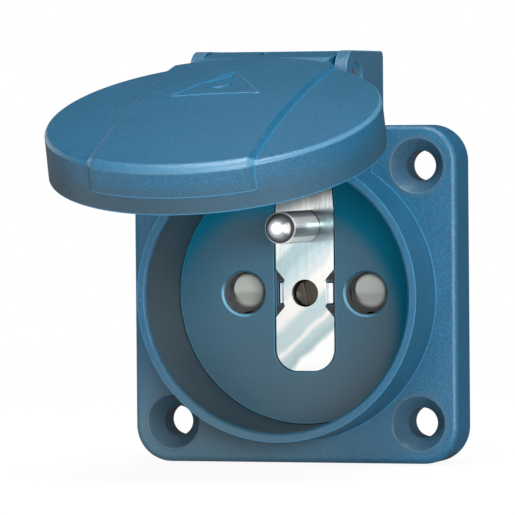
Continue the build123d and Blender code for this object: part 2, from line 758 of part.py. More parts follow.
# Earth pin with its shank
with BuildPart() as earth_pin:
    with BuildSketch(Plane.XY.offset(EARTH_PIN_Z)) as pin_outline:
        with BuildLine():
            Polyline(
                (0, pin_tip),
                (EARTH_PIN_TIP_R, pin_tip),
                (EARTH_PIN_R - EARTH_PIN_EDGE, pin_tip + EARTH_PIN_TAPER),
                (EARTH_PIN_R, pin_tip + EARTH_PIN_TAPER + EARTH_PIN_EDGE),
                (EARTH_PIN_R, strip_front),
                (SHANK_R, strip_front),
                (SHANK_R, sleeve_end),
                (0, sleeve_end),
                close=True,
            )
        make_face()
        fillet(corner(pin_outline, EARTH_PIN_TIP_R, pin_tip), EARTH_PIN_TIP_ROUND)
    revolve(axis=Axis((0, 0, EARTH_PIN_Z), (0, 1, 0)))
earth_pin.part.label = "earth_pin"
export_step(earth_pin.part, "parts/earth_pin.step")

# Centre screw and its square nut
with BuildPart() as centre_screw:
    with BuildSketch(facing(head_seat)):
        Circle(SCREW_HEAD_R)
    extrude(amount=SCREW_HEAD_T)
    with BuildSketch(facing(NUT_Y + NUT_T)):
        Circle(SCREW_R)
    extrude(amount=NUT_Y + NUT_T - head_seat)
    with BuildSketch(facing(head_seat - SCREW_HEAD_T)):
        Rectangle(2 * SCREW_HEAD_R, SLOT_W)
    extrude(amount=-SLOT_CUT, mode=Mode.SUBTRACT)
centre_screw.part.label = "centre_screw"
export_step(centre_screw.part, "parts/centre_screw.step")

with BuildPart() as centre_nut:
    with BuildSketch(facing(NUT_Y + NUT_T)):
        Rectangle(NUT_W, NUT_W)
        Circle(SCREW_R + FIT_SHANK, mode=Mode.SUBTRACT)
    extrude(amount=NUT_T)
centre_nut.part.label = "centre_nut"
export_step(centre_nut.part, "parts/centre_nut.step")

# Live contacts: a split sleeve with a tail for the terminal
for side in ("left", "right"):
    angle = terminals[side]
    with BuildPart() as live_contact:
        with BuildSketch(terminal_facing(angle, sleeve_end)):
            with Locations((live_x, 0)):
                Circle(sleeve_r)
        extrude(amount=sleeve_end - CONTACT_START)
        with BuildSketch(terminal_facing(angle, CONTACT_END)):
            with Locations((live_x, 0)):
                Circle(CONTACT_BORE_R)
        extrude(amount=CONTACT_END - CONTACT_START, mode=Mode.SUBTRACT)
        with BuildSketch(terminal_facing(angle, CONTACT_END)):
            with Locations((live_x, 0)):
                Rectangle(CONTACT_SLOT, 2 * sleeve_r)
                Rectangle(2 * sleeve_r, CONTACT_SLOT)
        extrude(amount=CONTACT_END - CONTACT_START, mode=Mode.SUBTRACT)
        with BuildSketch(terminal_facing(angle, TAIL_END)):
            with Locations((tail_x + TAIL_T / 2, 0)):
                Rectangle(TAIL_T, 2 * TAIL_HALF)
        extrude(amount=TAIL_END - sleeve_end)
    live_contact.part.label = f"live_contact_{side}"
    export_step(live_contact.part, f"parts/live_contact_{side}.step")

# Link from the earth pin's shank to its terminal
with BuildPart() as earth_link:
    with BuildSketch(facing(sleeve_end)):
        with Locations((0, EARTH_PIN_Z)):
            Rectangle(2 * TAIL_HALF, 2 * TAIL_HALF + TAIL_T)
            Circle(SHANK_R + FIT_SHANK, mode=Mode.SUBTRACT)
    extrude(amount=LINK_PLATE_T)
    with BuildSketch(facing(TAIL_END)):
        with Locations((0, tail_x + TAIL_T / 2)):
            Rectangle(2 * TAIL_HALF, TAIL_T)
    extrude(amount=TAIL_END - sleeve_end)
earth_link.part.label = "earth_link"
export_step(earth_link.part, "parts/earth_link.step")

# Clamp cages of the three terminals
for name, angle in terminals.items():
    with BuildPart() as clamp_cage:
        with BuildSketch(terminal_facing(angle, cage_start + CAGE_L)):
            with Locations((CAGE_OFFSET, 0)):
                Rectangle(CAGE_W, CAGE_H)
                Rectangle(CAGE_W - 2 * CAGE_T, CAGE_H - 2 * CAGE_T, mode=Mode.SUBTRACT)
        extrude(amount=CAGE_L)
        with BuildSketch(terminal_side(angle, CAGE_OFFSET)):
            Circle(TERMINAL_SCREW_R + FIT_SHANK)
        extrude(amount=CAGE_W, mode=Mode.SUBTRACT)
    clamp_cage.part.label = f"clamp_cage_{name}"
    export_step(clamp_cage.part, f"parts/clamp_cage_{name}.step")

# Clamping screws of the three terminals
with BuildPart() as terminal_screws:
    for angle in terminals.values():
        with BuildSketch(terminal_side(angle, screw_tip_x)):
            Circle(TERMINAL_SCREW_R)
        extrude(amount=screw_head_x - screw_tip_x)
        with BuildSketch(terminal_side(angle, screw_head_x)):
            Circle(TERMINAL_HEAD_R)
        extrude(amount=TERMINAL_HEAD_T)
        with BuildSketch(terminal_side(angle, screw_head_x + TERMINAL_HEAD_T)):
            Rectangle(2 * TERMINAL_HEAD_R, SLOT_W)
        extrude(amount=-SLOT_CUT, mode=Mode.SUBTRACT)
terminal_screws.part.label = "terminal_screws"
export_step(terminal_screws.part, "parts/terminal_screws.step")

# Contact base behind the face, with a well for each live contact
with BuildPart() as contact_base:
    with BuildSketch(facing(BARREL_END)):
        Circle(plug_r)
    extrude(amount=BARREL_END - base_front)
    with BuildSketch(facing(lip_back)):
        Circle(barrel_r - BASE_LIP_SET)
    extrude(amount=BASE_LIP_T)
    with BuildSketch(facing(BASE_END)):
        Circle(BASE_BODY_R)
    extrude(amount=BASE_END - lip_back)
    with BuildSketch(facing(base_front)):
        with GridLocations(LIVE_PITCH, 1, 2, 1):
            Circle(well_r + WELL_WALL)
    extrude(amount=base_front - plate_back - WELL_GAP)
    with BuildSketch(facing(BASE_END)):
        with GridLocations(LIVE_PITCH, 1, 2, 1):
            Circle(well_r)
    extrude(amount=BASE_END - plate_back, mode=Mode.SUBTRACT)
    # Room of the earth link
    with BuildSketch(facing(BASE_END)):
        with Locations((0, EARTH_PIN_Z)):
            Rectangle(2 * (TAIL_HALF + FIT_CONTACT), 2 * (TAIL_HALF + FIT_CONTACT) + TAIL_T)
    extrude(amount=BASE_END - sleeve_end + LINK_PLATE_T + FIT_SLIDE, mode=Mode.SUBTRACT)
    # Bores of the centre screw and the earth pin's shank
    with BuildSketch(facing(BASE_END)):
        Circle(SCREW_R + FIT_INSERT)
        with Locations((0, EARTH_PIN_Z)):
            Circle(SHANK_R + FIT_INSERT)
    extrude(amount=BASE_END - base_front, mode=Mode.SUBTRACT)
contact_base.part.label = "contact_base"
export_step(contact_base.part, "parts/contact_base.step")

# Terminal block: holds the cages and the nut that draws the whole insert together
with BuildPart() as terminal_block:
    with BuildSketch(facing(BLOCK_END)):
        Circle(block_r)
    extrude(amount=BLOCK_END - BASE_END)
    # Pockets of the cages and ways to their screws
    for angle in terminals.values():
        with BuildSketch(terminal_facing(angle, BLOCK_END)):
            with Locations((CAGE_OFFSET, 0)):
                Rectangle(CAGE_W + 2 * FIT_CAGE, CAGE_H + 2 * FIT_CAGE)
        extrude(amount=BLOCK_END - BASE_END, mode=Mode.SUBTRACT)
        with BuildSketch(terminal_side(angle, CAGE_OFFSET)):
            Circle(ACCESS_R)
        extrude(amount=block_r, mode=Mode.SUBTRACT)
    # Bore of the centre screw and the nut's pocket
    with BuildSketch(facing(BLOCK_END)):
        Circle(SCREW_R + FIT_INSERT)
    extrude(amount=BLOCK_END - BASE_END, mode=Mode.SUBTRACT)
    with BuildSketch(facing(BLOCK_END)):
        Rectangle(NUT_W + FIT_CAGE, NUT_W + FIT_CAGE)
    extrude(amount=BLOCK_END - NUT_Y, mode=Mode.SUBTRACT)
    # Rebate for the rear cover's ring
    with BuildSketch(facing(BLOCK_END)):
        Circle(block_r)
        Circle(block_r - COVER_RING_T - COVER_RING_GAP, mode=Mode.SUBTRACT)
    extrude(amount=COVER_RING_L + COVER_RING_GAP, mode=Mode.SUBTRACT)
terminal_block.part.label = "terminal_block"
export_step(terminal_block.part, "parts/terminal_block.step")

# Rear cover with the wire entries
with BuildPart() as rear_cover:
    with BuildSketch(facing(BLOCK_END + COVER_T)):
        Circle(block_r)
    extrude(amount=COVER_T)
    with BuildSketch(facing(BLOCK_END)):
        Circle(block_r)
        Circle(block_r - COVER_RING_T, mode=Mode.SUBTRACT)
    extrude(amount=COVER_RING_L)
    with Locations(facing(BLOCK_END + COVER_T).rotated((180, 0, 0))):
        with Locations((CAGE_OFFSET, 0), (-CAGE_OFFSET, 0), (0, -CAGE_OFFSET)):
            CounterSinkHole(ENTRY_R, ENTRY_MOUTH_R, COVER_T, 90)
rear_cover.part.label = "rear_cover"
export_step(rear_cover.part, "parts/rear_cover.step")
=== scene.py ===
import json
import math

import bmesh
import bpy
from bpy.props import FloatProperty, FloatVectorProperty, IntProperty, PointerProperty
from mathutils import Matrix, Vector


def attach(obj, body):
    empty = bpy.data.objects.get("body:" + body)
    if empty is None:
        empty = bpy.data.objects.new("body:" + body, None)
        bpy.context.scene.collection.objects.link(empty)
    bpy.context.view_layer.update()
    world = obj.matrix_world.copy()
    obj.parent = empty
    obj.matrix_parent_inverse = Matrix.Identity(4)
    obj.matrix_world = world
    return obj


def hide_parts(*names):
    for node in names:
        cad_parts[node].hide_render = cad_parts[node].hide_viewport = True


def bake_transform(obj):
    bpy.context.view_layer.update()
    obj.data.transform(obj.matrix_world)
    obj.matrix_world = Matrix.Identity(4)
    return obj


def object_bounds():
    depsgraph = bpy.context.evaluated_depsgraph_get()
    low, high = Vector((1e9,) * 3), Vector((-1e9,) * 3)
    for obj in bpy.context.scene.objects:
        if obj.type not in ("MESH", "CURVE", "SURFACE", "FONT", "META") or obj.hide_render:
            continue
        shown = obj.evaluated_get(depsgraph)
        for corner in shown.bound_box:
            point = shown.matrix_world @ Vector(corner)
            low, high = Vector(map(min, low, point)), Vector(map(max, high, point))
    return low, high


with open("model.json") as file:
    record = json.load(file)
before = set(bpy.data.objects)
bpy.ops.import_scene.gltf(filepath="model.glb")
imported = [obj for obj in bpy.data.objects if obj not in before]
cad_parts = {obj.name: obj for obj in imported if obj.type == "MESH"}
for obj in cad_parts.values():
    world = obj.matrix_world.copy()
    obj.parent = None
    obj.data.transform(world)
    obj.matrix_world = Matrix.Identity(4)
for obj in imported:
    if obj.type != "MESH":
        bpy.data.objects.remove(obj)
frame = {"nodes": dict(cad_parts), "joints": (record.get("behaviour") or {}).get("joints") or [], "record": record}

bl_info = {
    "name": "Panel outlet with a hinged lid",
    "version": (1, 0, 0),
    "blender": (4, 5, 0),
    "location": "3D View > Sidebar > Outlet",
    "description": "Dresses the packed solids of a panel outlet and sets its studio",
    "category": "Object",
}

MM = 0.001
BLACK, WHITE = (0, 0, 0), (1, 1, 1)
NODES = frame["nodes"]
MOUNTS = {mount["name"]: mount for mount in frame["record"]["mounts"]}
HOLE_X = MOUNTS["live_hole_right"]["pos_m"][0]
FIXING = MOUNTS["panel_fixing"]["dims"]["spacing_x_mm"] / 2 * MM
JOINT = next(j for j in frame["joints"] if j["name"] == "lid_hinge")
HINGE = Vector(JOINT["pos_m"])
OPEN = math.radians(-JOINT["range_deg"][0])
# The lid's own directions at rest: out of its top, and towards its hinge
LID_OUT = Vector((0, -math.cos(OPEN), math.sin(OPEN)))
LID_UP = Vector((0, math.sin(OPEN), math.cos(OPEN)))
LID_CENTRE = HINGE - LID_UP * HINGE.z
CAD_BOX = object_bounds()


def extent(node):
    """The lowest and the highest corner of a CAD node."""
    corners = NODES[node].bound_box
    return Vector(corners[0]), Vector(corners[6])


# Sizes and colours


def size_mm(name, description, default):
    """A length written in millimetres."""
    return FloatProperty(
        name=name, description=description, default=default * MM, unit="LENGTH", precision=5
    )


def colour(name, description, default):
    return FloatVectorProperty(
        name=name, description=description, default=default, subtype="COLOR", size=3, min=0, max=1
    )


def number(name, description, default):
    return FloatProperty(name=name, description=description, default=default, precision=4)


def share(name, description, default):
    return FloatProperty(name=name, description=description, default=default, subtype="FACTOR", min=0, max=1)


def angle(name, description, degrees):
    return FloatProperty(name=name, description=description, default=math.radians(degrees), subtype="ANGLE")


def power(name, description, watts):
    return FloatProperty(name=name, description=description, default=watts, unit="POWER", min=0)


def count(name, description, default):
    return IntProperty(name=name, description=description, default=default, min=3)


class OutletMouldings(bpy.types.PropertyGroup):
    """Blue and grey mouldings, their grain and their rounded edges."""

    tint: colour("Blue", "Colour of the housing and lid", (0.006, 0.088, 0.172))
    face: colour("Face", "Colour of the face", (0.019, 0.098, 0.158))
    # Painted shade and grey sheen for the collar's inner wall
    wall: colour("Inner wall", "Dull colour of the collar's inner wall", (0.042, 0.066, 0.082))
    base: colour("Base", "Colour of the hidden rear mouldings", (0.060, 0.064, 0.068))
    pads: colour("Shutter", "Colour of the shutter", (0.35, 0.37, 0.34))
    gloss: share("Roughness", "Roughness of the mouldings", 0.40)
    grain: size_mm("Grain", "Size of the eroded grain", 0.33)
    grain_depth: size_mm("Grain depth", "Depth of the eroded grain", 0.06)
    edge: size_mm("Edge", "Rounding of the outer edges", 0.16)
    fine_edge: size_mm("Fine edge", "Rounding of the small edges", 0.08)


class OutletSigns(bpy.types.PropertyGroup):
    """The raised splash sign on the lid."""

    line: size_mm("Line", "Width of the raised line", 0.42)
    rise: size_mm("Rise", "Height of the raised line", 0.2)


class OutletMetals(bpy.types.PropertyGroup):
    """Strip, pin, springs and threads."""

    strip_edge: size_mm("Strip edge", "Rounding of the stamped strip and the pin", 0.10)
    rod_edge: size_mm("Hinge pin edge", "Rounding of the hinge pin's ends", 0.15)
    wire: size_mm("Lid spring wire", "Radius of the lid spring's wire", 0.33)
    coil: size_mm("Lid spring", "Radius of the lid spring's coil", 2.45)
    pitch: size_mm("Lid spring pitch", "Pitch of the lid spring", 0.95)
    turns: count("Lid spring turns", "Full turns of the lid spring", 4)
    leg: size_mm("Lid spring leg", "Length of the lid spring's legs", 4.3)
    shutter_wire: size_mm("Shutter spring wire", "Radius of the shutter springs' wire", 0.2)
    shutter_coil: size_mm("Shutter spring", "Radius of the shutter springs", 1.27)
    shutter_turns: count("Shutter spring turns", "Working turns of a shutter spring", 5)
    thread_pitch: size_mm("Thread pitch", "Pitch of the screws' threads", 0.5)
    thread_ridge: size_mm("Thread ridge", "Radius of a thread's ridge", 0.13)
    sides: count("Wire sides", "Sides of the wires and ridges", 12)


class OutletView(bpy.types.PropertyGroup):
    """Camera, lamps and floor."""

    azimuth: angle("Azimuth", "Camera angle round the outlet", 17.3)
    elevation: angle("Elevation", "Camera angle above the outlet", 1.55)
    roll: angle("Roll", "Camera roll", -0.49)
    distance: size_mm("Distance", "Camera distance", 800.0)
    focal: number("Pixels per millimetre", "Image scale at the aim point", 6.668)
    aim_x: size_mm("Aim across", "Aim point across", -7.83)
    aim_z: size_mm("Aim height", "Aim point height", 5.29)
    key: power("Key", "Power of the lamp at the front right", 8.1)
    top: power("Top", "Power of the lamp above", 8.3)
    card: power("Card", "Power of the card that the strip reflects", 1.9)
    rim: power("Rim", "Power of the lamp at the right that draws the edges", 0.7)
    back: power("Back", "Power of the lamp behind, which gives the lid its sheen", 0.35)
    fill: power("Fill", "Power of the lamp that lights the rear", 1.7)
    sky: share("Surroundings", "Strength of the even light around", 0.20)
    dim: share("Reflected surroundings", "Strength of the surroundings in reflections", 0.11)
    glow: share("Floor glow", "Share of the near floor that looks white to the camera", 0.93)
    white: colour("White", "Colour of the floor", (0.9, 0.9, 0.9))


# Materials


class Shader:
    """A material under construction, on Object coordinates."""

    def __init__(self, name, **sockets):
        self.material = bpy.data.materials.new(name)
        self.material.use_nodes = True
        self.tree = self.material.node_tree
        self.surface = self.tree.nodes["Principled BSDF"]
        self.place = self.node("ShaderNodeTexCoord").outputs["Object"]
        for socket, value in sockets.items():
            self.put(value, self.surface.inputs[socket.replace("_", " ").title().replace("Ior", "IOR")])

    def node(self, kind, **settings):
        made = self.tree.nodes.new(kind)
        for key, value in settings.items():
            setattr(made, key, value)
        return made

    def put(self, value, socket):
        """Feeds a socket with another socket, a colour or a number."""
        if isinstance(value, bpy.types.NodeSocket):
            self.tree.links.new(value, socket)
        elif socket.type == "RGBA" and len(value) == 3:
            socket.default_value = (*value, 1)
        else:
            socket.default_value = value

    def made(self, kind, values, output=0, **settings):
        """An output of a new node whose inputs are fed by number or name."""
        made = self.node(kind, **settings)
        for key, value in values.items():
            self.put(value, made.inputs[key])
        return made.outputs[output]

    def math(self, operation, a, b=0.0):
        return self.made("ShaderNodeMath", {0: a, 1: b}, operation=operation)

    def vector(self, operation, a, b):
        return self.made("ShaderNodeVectorMath", {0: a, 1: b}, operation=operation)

    def dot(self, a, b):
        return self.made("ShaderNodeVectorMath", {0: a, 1: b}, 1, operation="DOT_PRODUCT")

    def length(self, a):
        return self.made("ShaderNodeVectorMath", {0: a}, 1, operation="LENGTH")

    def axis(self, name):
        return self.made("ShaderNodeSeparateXYZ", {0: self.place}, "XYZ".index(name))

    def noise(self, scale, detail=2.0, roughness=0.5, stretch=(1, 1, 1)):
        place = self.vector("MULTIPLY", self.place, stretch)
        values = {"Vector": place, "Scale": scale, "Detail": detail, "Roughness": roughness}
        return self.made("ShaderNodeTexNoise", values)

    def ramp(self, value, low, high, dark=0.0, light=1.0):
        """Eases a value from one range to another."""
        values = {0: value, 1: low, 2: high, 3: dark, 4: light}
        return self.made("ShaderNodeMapRange", values, interpolation_type="SMOOTHSTEP")

    def mix(self, factor, dark, light):
        return self.made("ShaderNodeMix", {0: factor, 6: dark, 7: light}, 2, data_type="RGBA")

    def both(self, mask, *others):
        """Where this mask and all others hold."""
        for other in others:
            mask = self.math("MULTIPLY", mask, other)
        return mask

    def bands(self, value, stops):
        """A colour that follows a value through (value, colour) stops."""
        low, high = stops[0][0], stops[-1][0]
        made = self.node("ShaderNodeValToRGB")
        self.put(self.made("ShaderNodeMapRange", {0: value, 1: low, 2: high}), made.inputs[0])
        line = made.color_ramp
        line.interpolation = "EASE"
        while len(line.elements) < len(stops):
            line.elements.new(0.5)
        for element, (at, rgb) in zip(line.elements, stops):
            element.position = (at - low) / (high - low)
            element.color = (*rgb, 1)
        return made.outputs[0]

    def edges(self, radius):
        """Where the surface turns within a radius, as along moulded edges: the mask for painted edge highlights.
        """
        rounded = self.node("ShaderNodeBevel", samples=6)
        rounded.inputs["Radius"].default_value = radius
        plain = self.node("ShaderNodeNewGeometry").outputs["Normal"]
        # Cosines between the two normals where an edge starts, and where it is full
        flat, turned = 0.992, 0.91
        return self.ramp(self.dot(rounded.outputs[0], plain), flat, turned)

    def around(self, centre):
        """Distance from the axis along Y through a point."""
        away = self.vector("SUBTRACT", self.place, tuple(centre))
        return self.length(self.vector("MULTIPLY", away, (1, 0, 1)))

    def reach(self, across, up, aside=0.0):
        """Distance from the nearer of two axes along Y, at X = aside +- across and Z = up."""
        side = self.math("ABSOLUTE", self.math("SUBTRACT", self.axis("X"), aside))
        beside = self.math("POWER", self.math("SUBTRACT", side, across), 2.0)
        above = self.math("POWER", self.math("SUBTRACT", self.axis("Z"), up), 2.0)
        return self.math("SQRT", self.math("ADD", beside, above))

    def paint(self, rgb, roughness):
        self.put(rgb, self.surface.inputs["Base Color"])
        self.put(roughness, self.surface.inputs["Roughness"])

    def bump(self, height, depth):
        out = self.made("ShaderNodeBump", {"Height": height, "Distance": depth, "Strength": 1.0})
        self.put(out, self.surface.inputs["Normal"])

    def dull(self, mask):
        """Takes the shine off where a mask is full."""
        shine = self.math("MULTIPLY", self.math("SUBTRACT", 1.0, mask), 0.5)
        self.put(shine, self.surface.inputs["Specular IOR Level"])


def shaded(rgb, times):
    """A colour made darker or lighter."""
    return tuple(min(1.0, max(0.0, c * times)) for c in rgb)


def moulded(
    name, rgb, roughness, grain, depth, mottle=0.06, speck=0.26, edge=0.35 * MM, lift=0.55, zones=None
):
    """Moulded plastic with an eroded grain, faint flow mottling, zones of painted light and shade, and painted
    highlights along its edges.
    """
    cloud, uneven, edge_highlight_gain = 7 * MM, 0.04, 3.0
    s = Shader(name, specular_ior_level=0.5)
    clouds = s.noise(1 / cloud, 3)
    fine = s.noise(1 / grain, 2, 0.65)
    flow = s.mix(clouds, shaded(rgb, 1 - mottle), shaded(rgb, 1 + mottle))
    tone = s.mix(s.ramp(fine, 0.42, 0.6), s.mix(speck, flow, BLACK), flow)
    for mask, other in zones(s) if zones else ():
        tone = s.mix(mask, tone, other)
    # Painted highlights: lighter where the surface turns along an edge, by the share lift
    tone = s.mix(s.math("MULTIPLY", s.edges(edge), lift), tone, shaded(rgb, edge_highlight_gain))
    s.paint(tone, s.ramp(clouds, 0.3, 0.7, roughness - uneven, roughness + uneven))
    s.bump(fine, depth)
    return s.material


def housing_zones(s):
    """Painted sheen, greyer on the foot, left side and tower; painted sheen and shade in the countersinks; a
    painted highlight on the tower's top; a dull grey of painted shade and sheen on the collar's inner wall.
    """
    foot_sheen_grey, sink_shade_grey = (0.062, 0.124, 0.160), (0.048, 0.068, 0.082)
    tower_sheen_blue, top_highlight_blue = (0.028, 0.092, 0.158), (0.056, 0.138, 0.220)
    wall_shading_grey = tuple(bpy.context.scene.outlet_mouldings.wall)
    # Painted sheen: greyer towards the foot and the left
    low = s.ramp(s.axis("Z"), -4 * MM, -22 * MM)
    foot = s.both(low, s.ramp(s.axis("X"), 26 * MM, -14 * MM, 0.0, 0.75))
    # Painted sheen: greyer up the tower
    tower = s.ramp(s.axis("Z"), 27 * MM, 30 * MM, 0.0, 0.8)
    # Painted highlight along the tower's top
    top = s.ramp(s.axis("Z"), 35.7 * MM, 35.9 * MM, 0.0, 0.9)
    # Painted sheen and shade in the countersinks
    sinks = s.math("MINIMUM", s.reach(FIXING, FIXING), s.reach(FIXING, -FIXING))
    sinks = s.ramp(sinks, 4.6 * MM, 4.4 * MM, 0.0, 0.45)
    # Painted shade and grey sheen on the collar's inner wall
    inside = s.ramp(s.around((0, 0, 0)), 20.14 * MM, 20.05 * MM)
    wall = s.both(inside, s.ramp(s.axis("Y"), -16.5 * MM, -15.6 * MM))
    return [
        (foot, foot_sheen_grey),
        (tower, tower_sheen_blue),
        (top, top_highlight_blue),
        (sinks, sink_shade_grey),
        (wall, wall_shading_grey),
    ]


def lid_zones(s):
    """The lid's skirt with painted shade, darker and duller towards its rim and its left end, and a painted
    highlight along its rounded edge.
    """
    rim_shading_blue, left_shade_blue, edge_highlight_blue = (0.016, 0.046, 0.068), (0.022, 0.050, 0.068), (0.058, 0.168, 0.262)
    away = s.vector("SUBTRACT", s.place, tuple(LID_CENTRE))
    height = s.dot(away, tuple(LID_OUT))
    radius = s.length(s.vector("CROSS_PRODUCT", away, tuple(LID_OUT)))
    # Painted shade: darker towards the skirt's rim and its left end
    rim = s.both(s.ramp(height, 4.4 * MM, 0.2 * MM), s.ramp(s.axis("X"), 24 * MM, -6 * MM, 0.55, 0.9))
    left = s.both(s.ramp(height, 5.6 * MM, 4.9 * MM), s.ramp(s.axis("X"), -9 * MM, -23 * MM, 0.0, 0.6))
    # Painted highlight along the lid's rounded edge, brighter to the right
    edge = s.both(
        s.ramp(height, 4.9 * MM, 5.2 * MM),
        s.ramp(radius, 23.35 * MM, 23.8 * MM),
        s.ramp(s.axis("X"), -24 * MM, 14 * MM, 0.15, 0.85),
    )
    return [(rim, rim_shading_blue), (left, left_shade_blue), (edge, edge_highlight_blue)]


def deep_plate(s):
    """The shutter's plate: painted light making its right half lighter, where it lies in shade, and painted shade,
    dull and dark, around its two pads.
    """
    light, dark = (0.44, 0.46, 0.43), (0.085, 0.085, 0.083)
    # Painted light on the right half, which lies in the collar's shadow
    right = s.ramp(s.axis("X"), -3 * MM, 3 * MM)
    # Painted shade, dark and dull, around the pads in their holes
    deep = s.ramp(s.reach(HOLE_X, 0.3 * MM, -0.2 * MM), 1.95 * MM, 2.75 * MM)
    s.dull(deep)
    return [(right, light), (deep, dark)]


def face_zones(s):
    """The face: greyer at its foot with painted sheen, painted shade clear in colour and dull by the upper wall
    and under the lid, painted shade dark in the strip's notches, painted highlights on the holes' rims and painted
    light on their walls.
    """
    foot_sheen_grey, shade_blue, rim_shading_blue = (0.044, 0.088, 0.118), (0.004, 0.125, 0.210), (0.16, 0.42, 0.60)
    notch_shade_black, wall_shading_grey = (0.012, 0.013, 0.014), (0.110, 0.125, 0.135)
    # Painted sheen: greyer towards the foot
    foot = s.ramp(s.axis("Z"), 4 * MM, -18 * MM, 0.0, 0.7)
    # Painted shade: under the lid and by the collar's upper wall, clear in colour and without sheen
    clear = s.ramp(s.around((-3.4 * MM, 0, -4.4 * MM)), 15.9 * MM, 19.0 * MM)
    clear = s.math("MAXIMUM", clear, s.ramp(s.axis("Z"), 9.5 * MM, 13.5 * MM, 0.0, 0.95))
    s.dull(clear)
    # Painted shade in the strip's notches
    beside, level = s.math("ABSOLUTE", s.axis("X")), s.math("ABSOLUTE", s.axis("Z"))
    notch = s.both(s.math("LESS_THAN", level, 3.0 * MM), s.math("LESS_THAN", beside, 4.7 * MM))
    hole = s.reach(HOLE_X, 0.0)
    # Painted light on the walls of the holes
    wall = s.math("LESS_THAN", hole, 3.2 * MM)
    # The rims of the holes catch light at their lower left
    centre = s.math("MULTIPLY", s.math("SIGN", s.axis("X")), HOLE_X)
    slant = s.math("ADD", s.math("SUBTRACT", s.axis("X"), centre), s.axis("Z"))
    rim = s.both(s.ramp(hole, 3.6 * MM, 3.4 * MM), s.ramp(slant, -1.0 * MM, -3.6 * MM))
    return [
        (foot, foot_sheen_grey),
        (clear, shade_blue),
        (notch, notch_shade_black),
        (rim, rim_shading_blue),
        (wall, wall_shading_grey),
    ]


def metal(name, rgb, roughness, stretch=(1, 1, 1), size=0.4 * MM, depth=0.004 * MM):
    """Metal with fine drawn, rolled or tumbled marks."""
    wear = 0.05
    s = Shader(name, metallic=1.0)
    marks = s.noise(1 / size, 3, 0.6, stretch)
    tone = s.mix(marks, shaded(rgb, 1 - 2 * wear), shaded(rgb, 1 + wear))
    s.paint(tone, s.ramp(marks, 0.35, 0.7, roughness * 0.8, roughness * 1.25))
    s.bump(marks, depth)
    return s.material


def bright_strip():
    """Rolled bright strip with slanting streaks of painted reflection, an upper end darkened with a painted
    reflection of the lid, and side tabs painted pale for their reflection.
    """
    sheen, white, pale = (0.84, 0.86, 0.84), (0.72, 0.715, 0.69), (0.55, 0.60, 0.605)
    cyan, slate, grey = (0.44, 0.54, 0.56), (0.36, 0.47, 0.49), (0.33, 0.44, 0.46)
    lid_reflection_grey, tab_reflection_white = (0.10, 0.125, 0.135), (0.86, 0.87, 0.92)
    # Painted reflections: bands of light and dark that slant across the strip
    stops = [
        (-12, sheen), (-10.2, sheen), (-8.8, slate), (-7.2, cyan), (-6.2, white),
        (-5.2, cyan), (-3.2, cyan), (-1.2, white), (0.9, white), (2.6, pale),
        (4.3, cyan), (6.4, grey), (8.2, grey), (9.8, pale), (12, white),
    ]
    reflection_lean, lid_reflection_lean = 0.9, 0.35
    waver, ripple, mark = 1.8 * MM, 4 * MM, 0.5 * MM
    s = Shader("Bright strip", metallic=1.0)
    slant = s.math("SUBTRACT", s.axis("Z"), s.math("MULTIPLY", s.axis("X"), reflection_lean))
    wave = s.math("SUBTRACT", s.noise(1 / ripple, 2, 0.4), 0.5)
    bent = s.math("ADD", slant, s.math("MULTIPLY", wave, waver))
    reflection_streaks = s.bands(bent, [(at * MM, rgb) for at, rgb in stops])
    # Painted reflection of the lid, darkening the upper end
    rise = s.math("SUBTRACT", s.axis("Z"), s.math("MULTIPLY", s.axis("X"), lid_reflection_lean))
    bright = s.mix(s.ramp(rise, 11.3 * MM, 14.6 * MM), reflection_streaks, lid_reflection_grey)
    beside, level = s.math("ABSOLUTE", s.axis("X")), s.math("ABSOLUTE", s.axis("Z"))
    # The side tabs, painted pale and less metallic for their reflection
    tab = s.both(s.math("LESS_THAN", level, 1.7 * MM), s.math("GREATER_THAN", beside, 3.25 * MM))
    drawn = s.noise(1 / mark, 2, 0.5, (1, 1, 0.08))
    s.paint(s.mix(tab, bright, tab_reflection_white), s.ramp(drawn, 0.3, 0.7, 0.13, 0.2))
    s.put(s.math("SUBTRACT", 1.0, s.math("MULTIPLY", tab, 0.85)), s.surface.inputs["Metallic"])
    s.bump(drawn, 0.0015 * MM)
    return s.material


